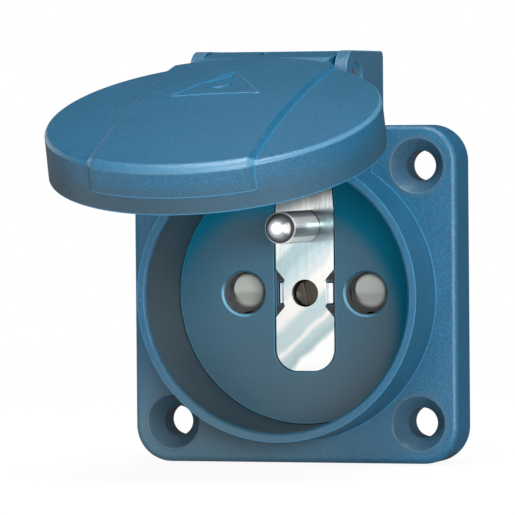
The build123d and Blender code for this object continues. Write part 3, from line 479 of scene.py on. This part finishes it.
def turned_pin(tip, radius):
    """Polished pin whose sides show painted highlights and reflections in light and dark bands along it, and
    painted rings of highlight and reflection on its end.
    """
    s = Shader("Turned pin")
    # Painted highlights and reflections, at heights on the pin's side, as shares of its radius
    side_highlight_bands = [
        (-1.05, (0.22, 0.23, 0.24)),
        (-0.86, (0.95, 0.96, 0.96)),
        (-0.64, (0.75, 0.77, 0.78)),
        (-0.50, (0.10, 0.115, 0.12)),
        (-0.06, (0.15, 0.17, 0.18)),
        (0.06, (0.62, 0.64, 0.65)),
        (0.18, WHITE),
        (0.56, WHITE),
        (0.74, (0.42, 0.43, 0.44)),
        (1.05, (0.16, 0.165, 0.17)),
    ]
    # Painted rings of highlight and reflection, at radii on the pin's end, in millimetres
    end_highlight_rings = [
        (0, WHITE),
        (0.78, WHITE),
        (0.96, (0.42, 0.43, 0.44)),
        (1.4, (0.26, 0.27, 0.28)),
        (1.8, (0.15, 0.155, 0.16)),
        (2.0, (0.06, 0.06, 0.065)),
        (2.18, (0.10, 0.10, 0.11)),
        (2.3, (0.7, 0.7, 0.7)),
    ]
    foot_black = (0.03, 0.03, 0.03)
    height = s.math("DIVIDE", s.math("SUBTRACT", s.axis("Z"), tip.z), radius)
    sides = s.bands(height, side_highlight_bands)
    reach = s.around(tip)
    cone = s.bands(reach, [(at * MM, rgb) for at, rgb in end_highlight_rings])
    # A glint on the cone's right
    right = s.ramp(s.math("DIVIDE", s.axis("X"), s.math("ADD", reach, 0.01 * MM)), 0.80, 0.97)
    cone = s.mix(s.both(right, s.ramp(reach, 1.9 * MM, 1.7 * MM)), cone, WHITE)
    end = s.ramp(s.axis("Y"), tip.y + 1.85 * MM, tip.y + 1.55 * MM)
    foot = s.ramp(s.axis("Y"), -1.9 * MM, -1.75 * MM)
    s.paint(s.mix(foot, s.mix(end, sides, cone), foot_black), 0.2)
    s.put(s.ramp(end, 0.0, 1.0, 0.0, 0.15), s.surface.inputs["Metallic"])
    s.bump(s.noise(1 / (0.35 * MM), 2, 0.5, (0.2, 4, 0.2)), 0.002 * MM)
    return s.material


def soft_rubber(name, rgb):
    """Dull rubber with a little dust."""
    s = Shader(name, specular_ior_level=0.3)
    dust = s.noise(1 / (2 * MM), 4)
    s.paint(s.mix(dust, shaded(rgb, 0.8), shaded(rgb, 1.3)), s.ramp(dust, 0.3, 0.7, 0.6, 0.75))
    s.bump(s.noise(1 / (0.2 * MM), 2), 0.02 * MM)
    return s.material


FINISHES = {}


def materials():
    """The finishes of this outlet, made once."""
    if not FINISHES:
        m = bpy.context.scene.outlet_mouldings
        blue, grain = tuple(m.tint), (m.gloss, m.grain, m.grain_depth)
        pin = MOUNTS["earth_pin"]
        tip = Vector((pin["pos_m"][0], extent("earth_pin")[0].y, pin["pos_m"][2]))
        FINISHES["blue"] = moulded("Blue moulding", blue, *grain)
        FINISHES["housing"] = moulded("Blue housing", blue, *grain, zones=housing_zones)
        FINISHES["lid"] = moulded("Blue lid", blue, *grain, zones=lid_zones)
        FINISHES["face"] = moulded(
            "Blue face", tuple(m.face), m.gloss - 0.04, m.grain, m.grain_depth * 0.3,
            speck=0.1, edge=0.22 * MM, lift=0.9, zones=face_zones,
        )
        FINISHES["base"] = moulded("Grey base moulding", tuple(m.base), *grain)
        FINISHES["shutter"] = moulded(
            "Light shutter", tuple(m.pads), m.gloss, m.grain, m.grain_depth * 0.1,
            mottle=0.02, speck=0.03, lift=0.0, zones=deep_plate,
        )
        FINISHES["seal"] = soft_rubber("Seal rubber", (0.018, 0.018, 0.02))
        FINISHES["earth"] = bright_strip()
        FINISHES["pin"] = turned_pin(tip, pin["dims"]["r_mm"] * MM)
        FINISHES["steel"] = metal("Spring steel", (0.62, 0.62, 0.63), 0.28, size=0.3 * MM)
        FINISHES["brass"] = metal("Contact brass", (0.78, 0.58, 0.27), 0.3, (1, 0.4, 1), 0.5 * MM)
        FINISHES["screw"] = metal(
            "Browned screw", (0.085, 0.072, 0.06), 0.38, size=0.5 * MM, depth=0.006 * MM
        )
    return FINISHES


def coat(piece, key):
    """Gives a piece one of the finishes."""
    piece.data.materials.clear()
    piece.data.materials.append(materials()[key])


def finish(piece, key, body):
    """Gives a finished piece its material and body."""
    coat(piece, key)
    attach(piece, body)


def sprung(spring):
    """Gives a spring its steel and bakes its place into its mesh."""
    coat(spring, "steel")
    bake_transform(spring)


# Meshes


def new_object(name, mesh):
    made = bpy.data.objects.new(name, mesh)
    bpy.context.scene.collection.objects.link(made)
    return made


def applied(piece):
    """Turns a piece with modifiers into a plain mesh."""
    graph = bpy.context.evaluated_depsgraph_get()
    mesh = bpy.data.meshes.new_from_object(piece.evaluated_get(graph), depsgraph=graph)
    piece.modifiers.clear()
    old = piece.data
    piece.data = mesh
    mesh.name = piece.name
    bpy.data.meshes.remove(old)
    return piece


def write_smooth(bm, mesh):
    """Writes a mesh under construction to its mesh, shaded smooth."""
    bm.to_mesh(mesh)
    bm.free()
    for polygon in mesh.polygons:
        polygon.use_smooth = True


def dressed_copy(node, name, edge):
    """A merged copy of a CAD node with its edges rounded, which stands for the node."""
    touching, tiny = 0.003 * MM, 0.002 * MM
    flat, sharp = math.radians(0.6), math.radians(28)
    bm = bmesh.new()
    bm.from_mesh(NODES[node].data)
    bmesh.ops.remove_doubles(bm, verts=bm.verts, dist=touching)
    bmesh.ops.dissolve_degenerate(bm, dist=tiny, edges=bm.edges)
    bmesh.ops.dissolve_limit(bm, angle_limit=flat, verts=bm.verts, edges=bm.edges)
    mesh = bpy.data.meshes.new(name)
    write_smooth(bm, mesh)
    piece = new_object(name, mesh)
    bevel = piece.modifiers.new("Edges", "BEVEL")
    bevel.width = edge
    bevel.segments = 2
    bevel.limit_method = "ANGLE"
    bevel.angle_limit = sharp
    bevel.miter_outer = "MITER_ARC"
    weighted = piece.modifiers.new("Normals", "WEIGHTED_NORMAL")
    weighted.keep_sharp = True
    applied(piece)
    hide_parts(node)
    return piece


def turned(name, profile, centre, axis):
    """A ring turned round an axis from a closed profile of (radius, height) pairs."""
    steps = 160
    axis = axis.normalized()
    side = axis.orthogonal().normalized()
    over = axis.cross(side)
    bm = bmesh.new()
    rings = []
    for k in range(steps):
        t = 2 * math.pi * k / steps
        out = side * math.cos(t) + over * math.sin(t)
        rings.append([bm.verts.new(centre + out * r + axis * h) for r, h in profile])
    for a, b in zip(rings, rings[1:] + rings[:1]):
        for i in range(len(profile)):
            j = (i + 1) % len(profile)
            bm.faces.new((a[i], a[j], b[j], b[i]))
    bmesh.ops.recalc_face_normals(bm, faces=bm.faces)
    mesh = bpy.data.meshes.new(name)
    write_smooth(bm, mesh)
    return new_object(name, mesh)


# Geometry Nodes


class Graph:
    """A Geometry Nodes group under construction, with named inputs."""

    def __init__(self, name, **inputs):
        self.tree = bpy.data.node_groups.new(name, "GeometryNodeTree")
        face = self.tree.interface
        face.new_socket("Geometry", in_out="INPUT", socket_type="NodeSocketGeometry")
        self.identifiers = {
            key: face.new_socket(key.replace("_", " ").title(), in_out="INPUT", socket_type=kind).identifier
            for key, kind in inputs.items()
        }
        face.new_socket("Geometry", in_out="OUTPUT", socket_type="NodeSocketGeometry")
        self.source = self.tree.nodes.new("NodeGroupInput")
        self.end = self.tree.nodes.new("NodeGroupOutput")

    def input(self, key="geometry"):
        return self.source.outputs[key.replace("_", " ").title()]

    def node(self, kind, values, output=0, **settings):
        made = self.tree.nodes.new(kind)
        for key, value in settings.items():
            setattr(made, key, value)
        for key, value in values.items():
            if isinstance(value, bpy.types.NodeSocket):
                self.tree.links.new(value, made.inputs[key])
            else:
                made.inputs[key].default_value = value
        return made.outputs[output]

    def wire(self, path, radius):
        """A round wire along a curve, closed at its ends."""
        sizes = {"Resolution": self.input("sides"), "Radius": radius}
        ring = self.node("GeometryNodeCurvePrimitiveCircle", sizes)
        return self.node("GeometryNodeCurveToMesh", {0: path, 1: ring, "Fill Caps": True})

    def finish(self, geometry):
        """Ends the group in Realize Instances and Set Material."""
        real = self.node("GeometryNodeRealizeInstances", {0: geometry})
        soft = self.node("GeometryNodeSetShadeSmooth", {0: real})
        done = self.node("GeometryNodeSetMaterial", {0: soft, "Material": self.input("material")})
        self.tree.links.new(done, self.end.inputs[0])
        return self


def grown(piece, graph, **values):
    """Runs a group on a piece and keeps the outcome as a plain mesh."""
    modifier = piece.modifiers.new(graph.tree.name, "NODES")
    modifier.node_group = graph.tree
    for key, value in values.items():
        modifier[graph.identifiers[key]] = value
    return applied(piece)


def round_wire():
    """A round wire along each chain of edges."""
    g = Graph("Round wire", radius="NodeSocketFloat", sides="NodeSocketInt", material="NodeSocketMaterial")
    path = g.node("GeometryNodeMeshToCurve", {0: g.input()})
    return g.finish(g.wire(path, g.input("radius")))


def line_on_surface():
    """A raised round line along each chain of edges, laid on another object's surface."""
    g = Graph(
        "Line on a surface",
        surface="NodeSocketObject",
        outward="NodeSocketVector",
        drop="NodeSocketFloat",
        step="NodeSocketFloat",
        line="NodeSocketFloat",
        rise="NodeSocketFloat",
        sides="NodeSocketInt",
        material="NodeSocketMaterial",
    )
    path = g.node("GeometryNodeMeshToCurve", {0: g.input()})
    fine = g.node("GeometryNodeResampleCurve", {"Curve": path, "Length": g.input("step")}, mode="LENGTH")
    under = g.node("GeometryNodeObjectInfo", {"Object": g.input("surface")}, 4)
    down = g.node("ShaderNodeVectorMath", {0: g.input("outward"), "Scale": -1.0}, operation="SCALE")
    ray = {"Target Geometry": under, "Ray Direction": down, "Ray Length": g.input("drop")}
    hit = g.node("GeometryNodeRaycast", ray, 1)
    half = g.node("ShaderNodeMath", {0: g.input("line"), 1: 0.5}, operation="MULTIPLY")
    lift = g.node("ShaderNodeMath", {0: g.input("rise"), 1: half}, operation="SUBTRACT")
    shift = g.node("ShaderNodeVectorMath", {0: g.input("outward"), "Scale": lift}, operation="SCALE")
    laid = g.node("GeometryNodeSetPosition", {0: fine, "Position": hit, "Offset": shift})
    return g.finish(g.wire(laid, half))


def thread_ridges():
    """A thread's ridge from each point along the point's own direction."""
    g = Graph(
        "Thread ridges",
        pitch="NodeSocketFloat",
        radius="NodeSocketFloat",
        length="NodeSocketFloat",
        ridge="NodeSocketFloat",
        sides="NodeSocketInt",
        material="NodeSocketMaterial",
    )
    turns = g.node("ShaderNodeMath", {0: g.input("length"), 1: g.input("pitch")}, operation="DIVIDE")
    steps_per_turn = 32
    sizes = {
        "Resolution": steps_per_turn,
        "Rotations": turns,
        "Start Radius": g.input("radius"),
        "End Radius": g.input("radius"),
        "Height": g.input("length"),
    }
    ridge = g.wire(g.node("GeometryNodeCurveSpiral", sizes), g.input("ridge"))
    way = g.node("GeometryNodeInputNamedAttribute", {"Name": "way"}, data_type="FLOAT_VECTOR")
    turn = g.node("FunctionNodeAlignRotationToVector", {"Vector": way}, axis="Z")
    standing = {"Points": g.input(), "Instance": ridge, "Rotation": turn}
    return g.finish(g.node("GeometryNodeInstanceOnPoints", standing))


def chain(name, *chains, closed=False):
    """An object of plain edges through each list of points."""
    points, edges = [], []
    for line in chains:
        first = len(points)
        points += [tuple(p) for p in line]
        edges += [(i, i + 1) for i in range(first, len(points) - 1)]
        if closed:
            edges.append((len(points) - 1, first))
    mesh = bpy.data.meshes.new(name)
    mesh.from_pydata(points, edges, [])
    return new_object(name, mesh)


def threaded(name, starts, length, radius):
    """Thread ridges that start at points, each with its own direction."""
    m = bpy.context.scene.outlet_metals
    mesh = bpy.data.meshes.new(name)
    mesh.from_pydata([tuple(at) for at, _ in starts], [], [])
    ways = mesh.attributes.new("way", "FLOAT_VECTOR", "POINT")
    for value, (_, way) in zip(ways.data, starts):
        value.vector = way
    return grown(
        new_object(name, mesh), thread_ridges(), pitch=m.thread_pitch, radius=radius, length=length,
        ridge=m.thread_ridge, sides=m.sides, material=materials()["screw"],
    )


# Operators


class OutletOperator:
    """What the steps of the outlet share."""

    bl_options = {"REGISTER", "UNDO"}


class OUTLET_OT_stage(OutletOperator, bpy.types.Operator):
    """Floor, backdrop, lamps and camera"""

    bl_idname = "outlet.stage"
    bl_label = "Stage"

    def execute(self, context):
        v = context.scene.outlet_view
        self.floor(v)
        self.surroundings(context.scene, v)
        # Each lamp's place, width and height, in metres
        self.lamp("Key", (0.47, -0.78, 0.115), 0.60, 0.26, v.key)
        self.lamp("Top", (0.10, -0.32, 0.72), 0.45, 0.40, v.top)
        self.lamp("Card", (-0.36, -1.14, -0.02), 0.42, 0.9, v.card)
        self.lamp("Rim", (0.85, 0.05, 0.35), 0.12, 0.6, v.rim)
        self.lamp("Back", (-0.20, 0.55, 0.86), 0.40, 0.30, v.back)
        self.lamp("Fill", (-0.85, 0.50, 0.26), 0.60, 0.50, v.fill)
        self.camera(context.scene, v)
        return {"FINISHED"}

    def floor(self, v):
        """A floor under the object, white to the camera around the shadow and dim behind in reflections."""
        gap, half = 0.2 * MM, 3.0
        near, far = 0.12, 0.32
        floor_z = CAD_BOX[0][2] - gap
        corners = [(x * half, y * half, floor_z) for x, y in ((-1, -1), (1, -1), (1, 1), (-1, 1))]
        mesh = bpy.data.meshes.new("Floor")
        mesh.from_pydata(corners, [], [(0, 1, 2, 3)])
        floor = new_object("Floor", mesh)
        s = Shader("Pale floor", roughness=0.9, specular_ior_level=0.1, base_color=tuple(v.white))
        path = s.node("ShaderNodeLightPath")
        glow = s.made("ShaderNodeEmission", {"Strength": 1.0})
        white = s.ramp(s.length(s.place), near, far, v.glow, 1.0)
        camera = s.math("MULTIPLY", path.outputs["Is Camera Ray"], white)
        seen = s.made("ShaderNodeMixShader", {0: camera, 1: s.surface.outputs[0], 2: glow})
        dim = s.made("ShaderNodeEmission", {"Strength": s.ramp(s.axis("Y"), 0.0, -0.03, v.dim, 1.0)})
        both = s.made("ShaderNodeMixShader", {0: path.outputs["Is Glossy Ray"], 1: seen, 2: dim})
        s.put(both, s.tree.nodes["Material Output"].inputs["Surface"])
        floor.data.materials.append(s.material)

    def surroundings(self, scene, v):
        """An even cool light, dimmer in reflections and white to the camera."""
        cool = (0.90, 0.96, 1.0)
        world = bpy.data.worlds.new("Studio")
        scene.world = world
        world.use_nodes = True
        tree = world.node_tree
        light = tree.nodes["Background"]
        light.inputs["Color"].default_value = (*cool, 1)
        path = tree.nodes.new("ShaderNodeLightPath")
        level = tree.nodes.new("ShaderNodeMapRange")
        level.inputs[3].default_value = v.sky
        level.inputs[4].default_value = v.dim
        tree.links.new(path.outputs["Is Glossy Ray"], level.inputs[0])
        tree.links.new(level.outputs[0], light.inputs["Strength"])
        white = tree.nodes.new("ShaderNodeBackground")
        white.inputs["Color"].default_value = (*WHITE, 1)
        pick = tree.nodes.new("ShaderNodeMixShader")
        tree.links.new(path.outputs["Is Camera Ray"], pick.inputs[0])
        tree.links.new(light.outputs[0], pick.inputs[1])
        tree.links.new(white.outputs[0], pick.inputs[2])
        tree.links.new(pick.outputs[0], tree.nodes["World Output"].inputs["Surface"])

    def lamp(self, name, place, wide, high, watts):
        """An area lamp that faces the outlet's middle."""
        middle = Vector((0, -0.02, 0.01))
        data = bpy.data.lights.new(name, "AREA")
        data.shape = "RECTANGLE"
        data.size = wide
        data.size_y = high
        data.energy = watts
        lamp = bpy.data.objects.new(name, data)
        bpy.context.scene.collection.objects.link(lamp)
        lamp.location = place
        lamp.rotation_euler = (Vector(place) - middle).to_track_quat("Z", "Y").to_euler()

    def camera(self, scene, v):
        image_width, sensor = 515, 36
        camera = bpy.data.cameras.new("Camera")
        placed = bpy.data.objects.new("Camera", camera)
        scene.collection.objects.link(placed)
        az, el = v.azimuth, v.elevation
        away = Vector((math.sin(az) * math.cos(el), -math.cos(az) * math.cos(el), math.sin(el)))
        place = Vector((v.aim_x, 0, v.aim_z)) + away * v.distance
        turn = away.to_track_quat("Z", "Y").to_matrix().to_4x4()
        placed.matrix_world = Matrix.Translation(place) @ turn @ Matrix.Rotation(v.roll, 4, "Z")
        camera.sensor_fit = "HORIZONTAL"
        camera.sensor_width = sensor
        camera.lens = v.focal * v.distance / MM / image_width * sensor
        camera.clip_start = 0.02
        camera.clip_end = 20
        scene.camera = placed
        scene.view_settings.view_transform = "Standard"


class OUTLET_OT_housing(OutletOperator, bpy.types.Operator):
    """Flange, collar, hinge tower and barrel in one moulding, with its gasket"""

    bl_idname = "outlet.housing"
    bl_label = "Housing"

    def execute(self, context):
        m = context.scene.outlet_mouldings
        finish(dressed_copy("housing", "housing_shell", m.edge), "housing", "base")
        finish(dressed_copy("flange_gasket", "gasket_sheet", m.fine_edge), "seal", "base")
        return {"FINISHED"}


class OUTLET_OT_lid(OutletOperator, bpy.types.Operator):
    """Lid with its band, skirt, hinge arm and sealing ring"""

    bl_idname = "outlet.lid"
    bl_label = "Lid"

    def execute(self, context):
        m = context.scene.outlet_mouldings
        finish(dressed_copy("lid", "lid_shell", m.edge), "lid", "lid")
        ring = turned("seal_ring", self.seal_profile(), LID_CENTRE, LID_OUT)
        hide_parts("lid_seal")
        finish(ring, "seal", "lid")
        return {"FINISHED"}

    def seal_profile(self):
        """The seal's section: a lip at each edge and a groove between."""
        low, high, inner, outer = 2.95 * MM, 4.08 * MM, 19.22 * MM, 22.08 * MM
        lip, groove, slope = 0.75 * MM, 0.5 * MM, 0.2 * MM
        return [
            (inner, high),
            (inner, low + slope),
            (inner + slope, low),
            (inner + lip, low),
            (inner + lip + slope, low + groove),
            (outer - lip - slope, low + groove),
            (outer - lip, low),
            (outer - slope, low),
            (outer, low + slope),
            (outer, high),
        ]


class OUTLET_OT_sign(OutletOperator, bpy.types.Operator):
    """Raised splash sign on the lid: a drop in a triangle"""

    bl_idname = "outlet.sign"
    bl_label = "Splash sign"

    def execute(self, context):
        signs = context.scene.outlet_signs
        lines = [[self.above_lid(across, up) for across, up in line] for line in self.outlines()]
        piece = chain("splash_sign", *lines, closed=True)
        grown(
            piece, line_on_surface(), surface=bpy.data.objects["lid_shell"], outward=LID_OUT,
            drop=20 * MM, step=0.4 * MM, line=signs.line, rise=signs.rise, sides=8,
            material=materials()["blue"],
        )
        finish(piece, "blue", "lid")
        return {"FINISHED"}

    def outlines(self):
        """Triangle and drop, in millimetres across the lid and up from its centre."""
        triangle = [(-6.7, 1.3), (6.3, 2.8), (-0.4, 13.6)]
        drop = [(-0.28, 11.15)]
        # The drop's round belly, from its right shoulder to its left one
        across, up, half_wide, half_high = -1.2, 7.1, 1.85, 1.95
        start, sweep, steps = 12, 206, 18
        for k in range(steps + 1):
            t = math.radians(start - sweep * k / steps)
            drop.append((across + half_wide * math.cos(t), up + half_high * math.sin(t)))
        return triangle, drop

    def above_lid(self, across, up):
        clear = 14 * MM
        return LID_CENTRE + Vector((across * MM, 0, 0)) + LID_UP * (up * MM) + LID_OUT * clear


class OUTLET_OT_hinge(OutletOperator, bpy.types.Operator):
    """Hinge pin and the lid's torsion spring"""

    bl_idname = "outlet.hinge"
    bl_label = "Hinge"

    def execute(self, context):
        m = context.scene.outlet_metals
        finish(dressed_copy("hinge_pin", "hinge_rod", m.rod_edge), "steel", "base")
        # One leg runs back into the tower, the other down the lid
        sweep = 2 * math.pi * m.turns + math.pi / 2 - OPEN
        half = m.pitch * sweep / (4 * math.pi)
        steps_per_turn = 32
        steps = steps_per_turn * m.turns
        turns = []
        for k in range(steps + 1):
            t = sweep * k / steps
            out = Vector((0, -math.sin(t), math.cos(t)))
            turns.append(HINGE + Vector((m.pitch * t / (2 * math.pi) - half, 0, 0)) + out * m.coil)
        path = [turns[0] + Vector((0, m.leg, 0))] + turns + [turns[-1] - LID_UP * m.leg]
        wire = chain("lid_coil", path)
        grown(wire, round_wire(), radius=m.wire, sides=m.sides, material=materials()["steel"])
        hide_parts("lid_spring")
        sprung(wire)
        return {"FINISHED"}


class OUTLET_OT_face(OutletOperator, bpy.types.Operator):
    """Front insert with the live holes and the slot"""

    bl_idname = "outlet.face"
    bl_label = "Face"

    def execute(self, context):
        m = context.scene.outlet_mouldings
        finish(dressed_copy("contact_carrier", "face_insert", m.fine_edge), "face", "base")
        return {"FINISHED"}


class OUTLET_OT_shutter(OutletOperator, bpy.types.Operator):
    """Shutter and its two springs with closed ends"""

    bl_idname = "outlet.shutter"
    bl_label = "Shutter"

    def execute(self, context):
        m = context.scene.outlet_metals
        plate = dressed_copy("shutter", "shutter_plate", context.scene.outlet_mouldings.fine_edge)
        self.soften(plate.data)
        finish(plate, "shutter", "shutter")
        first, last = extent("shutter_springs")
        low, high = first.z + m.shutter_wire, last.z - m.shutter_wire
        middle = (first.y + last.y) / 2
        aside = last.x - m.shutter_coil - m.shutter_wire
        coils = [self.coil(m, x, middle, low, high) for x in (-aside, aside)]
        springs = chain("shutter_coils", *coils)
        grown(springs, round_wire(), radius=m.shutter_wire, sides=m.sides, material=materials()["steel"])
        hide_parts("shutter_springs")
        sprung(springs)
        return {"FINISHED"}

    def coil(self, m, x, y, low, high):
        """The middle line of a compression spring, closed by one flat turn at each end."""
        flat, steps_per_turn = 2 * m.shutter_wire, 28
        points = []
        for k in range(steps_per_turn * (m.shutter_turns + 2) + 1):
            turn = k / steps_per_turn
            inside = min(max(turn - 1, 0), m.shutter_turns) / m.shutter_turns
            ends = min(turn, 1) + max(turn - 1 - m.shutter_turns, 0)
            height = low + flat * ends + (high - low - 2 * flat) * inside
            t = 2 * math.pi * turn
            points.append((x + m.shutter_coil * math.cos(t), y + m.shutter_coil * math.sin(t), height))
        return points

    def soften(self, mesh):
        """Lets each pad fall back in one soft curve from its face to its foot."""
        face, fall, foot, back, cuts = 1 * MM, 2.4 * MM, -1.85 * MM, 2.05 * MM, 16
        front = min(v.co.y for v in mesh.vertices)
        top = max(v.co.z for v in mesh.vertices if v.co.y < face) - fall
        bm = bmesh.new()
        bm.from_mesh(mesh)
        for k in range(1, cuts):
            level = foot + (top - foot) * k / cuts
            geometry = [*bm.verts, *bm.edges, *bm.faces]
            bmesh.ops.bisect_plane(bm, geom=geometry, plane_co=(0, 0, level), plane_no=(0, 0, 1), dist=1e-7)
        for v in bm.verts:
            if v.co.y < back - 0.1 * MM and v.co.z < top:
                t = min(1.0, (top - v.co.z) / (top - foot))
                v.co.y = max(v.co.y, front + (back - front) * t * t * (3 - 2 * t))
        write_smooth(bm, mesh)


class OUTLET_OT_earth(OutletOperator, bpy.types.Operator):
    """Earth strip and pin"""

    bl_idname = "outlet.earth"
    bl_label = "Earth strip and pin"

    def execute(self, context):
        m = context.scene.outlet_metals
        finish(dressed_copy("earth_strip", "strip_plate", m.strip_edge), "earth", "base")
        finish(dressed_copy("earth_pin", "pin_turned", m.strip_edge), "pin", "base")
        return {"FINISHED"}


class OUTLET_OT_screws(OutletOperator, bpy.types.Operator):
    """Centre screw, nut and terminal screws with their threads"""

    bl_idname = "outlet.screws"
    bl_label = "Screws"

    def execute(self, context):
        edge = context.scene.outlet_mouldings.fine_edge
        screw = dressed_copy("centre_screw", "centre_screw_body", edge)
        # The slot stands where the driver left it
        screw.data.transform(Matrix.Rotation(math.radians(78), 4, "Y"))
        finish(screw, "screw", "base")
        finish(dressed_copy("centre_nut", "square_nut", edge), "screw", "base")
        finish(dressed_copy("terminal_screws", "clamp_screws", edge), "screw", "base")
        # The centre screw's thread ends short of its tip
        from_tip, length, radius = 8 * MM, 7.4 * MM, 1.22 * MM
        start = Vector((0, extent("centre_screw")[1].y - from_tip, 0))
        thread = threaded("centre_thread", [(start, Vector((0, 1, 0)))], length, radius)
        finish(thread, "screw", "base")
        # The clamping screws stand outwards, to the right, above and to the left
        inner, length, radius = 10.7 * MM, 2.9 * MM, 1.7 * MM
        front, back = extent("clamp_cage_right")
        middle = Vector((0, (front.y + back.y) / 2, 0))
        ways = (Vector((1, 0, 0)), Vector((0, 0, 1)), Vector((-1, 0, 0)))
        threads = threaded("clamp_threads", [(way * inner + middle, way) for way in ways], length, radius)
        finish(threads, "screw", "base")
        return {"FINISHED"}


class OUTLET_OT_contacts(OutletOperator, bpy.types.Operator):
    """Live contacts, earth link and clamp cages"""

    bl_idname = "outlet.contacts"
    bl_label = "Contacts"

    def execute(self, context):
        edge = context.scene.outlet_mouldings.fine_edge
        for node, name in (
            ("live_contact_left", "sleeve_left"),
            ("live_contact_right", "sleeve_right"),
            ("earth_link", "link_plate"),
            ("clamp_cage_left", "cage_left"),
            ("clamp_cage_right", "cage_right"),
            ("clamp_cage_earth", "cage_earth"),
        ):
            finish(dressed_copy(node, name, edge), "brass", "base")
        return {"FINISHED"}


class OUTLET_OT_rear(OutletOperator, bpy.types.Operator):
    """Contact base, terminal block and rear cover"""

    bl_idname = "outlet.rear"
    bl_label = "Rear mouldings"

    def execute(self, context):
        edge = context.scene.outlet_mouldings.edge
        for node, name in (
            ("contact_base", "base_shell"),
            ("terminal_block", "block_shell"),
            ("rear_cover", "cover_shell"),
        ):
            finish(dressed_copy(node, name, edge), "base", "base")
        return {"FINISHED"}


class OUTLET_PT_panel(bpy.types.Panel):
    """Steps and settings of the outlet"""

    bl_idname = "OUTLET_PT_panel"
    bl_label = "Outlet"
    bl_space_type = "VIEW_3D"
    bl_region_type = "UI"
    bl_category = "Outlet"

    def draw(self, context):
        for step in STEPS:
            self.layout.operator(step.bl_idname)
        for name in SETTINGS:
            group = getattr(context.scene, name)
            for key in group.__annotations__:
                self.layout.prop(group, key)


SETTINGS = {
    "outlet_mouldings": OutletMouldings,
    "outlet_signs": OutletSigns,
    "outlet_metals": OutletMetals,
    "outlet_view": OutletView,
}
STEPS = (
    OUTLET_OT_stage,
    OUTLET_OT_housing,
    OUTLET_OT_lid,
    OUTLET_OT_sign,
    OUTLET_OT_hinge,
    OUTLET_OT_face,
    OUTLET_OT_shutter,
    OUTLET_OT_earth,
    OUTLET_OT_screws,
    OUTLET_OT_contacts,
    OUTLET_OT_rear,
)


def register():
    for made in (*SETTINGS.values(), *STEPS, OUTLET_PT_panel):
        bpy.utils.register_class(made)
    for name, group in SETTINGS.items():
        setattr(bpy.types.Scene, name, PointerProperty(type=group))


def unregister():
    for name in SETTINGS:
        delattr(bpy.types.Scene, name)
    for made in (OUTLET_PT_panel, *reversed(STEPS), *SETTINGS.values()):
        bpy.utils.unregister_class(made)


def main():
    register()
    for step in STEPS:
        group, name = step.bl_idname.split(".")
        getattr(getattr(bpy.ops, group), name)()


if __name__ == "__main__":
    main()
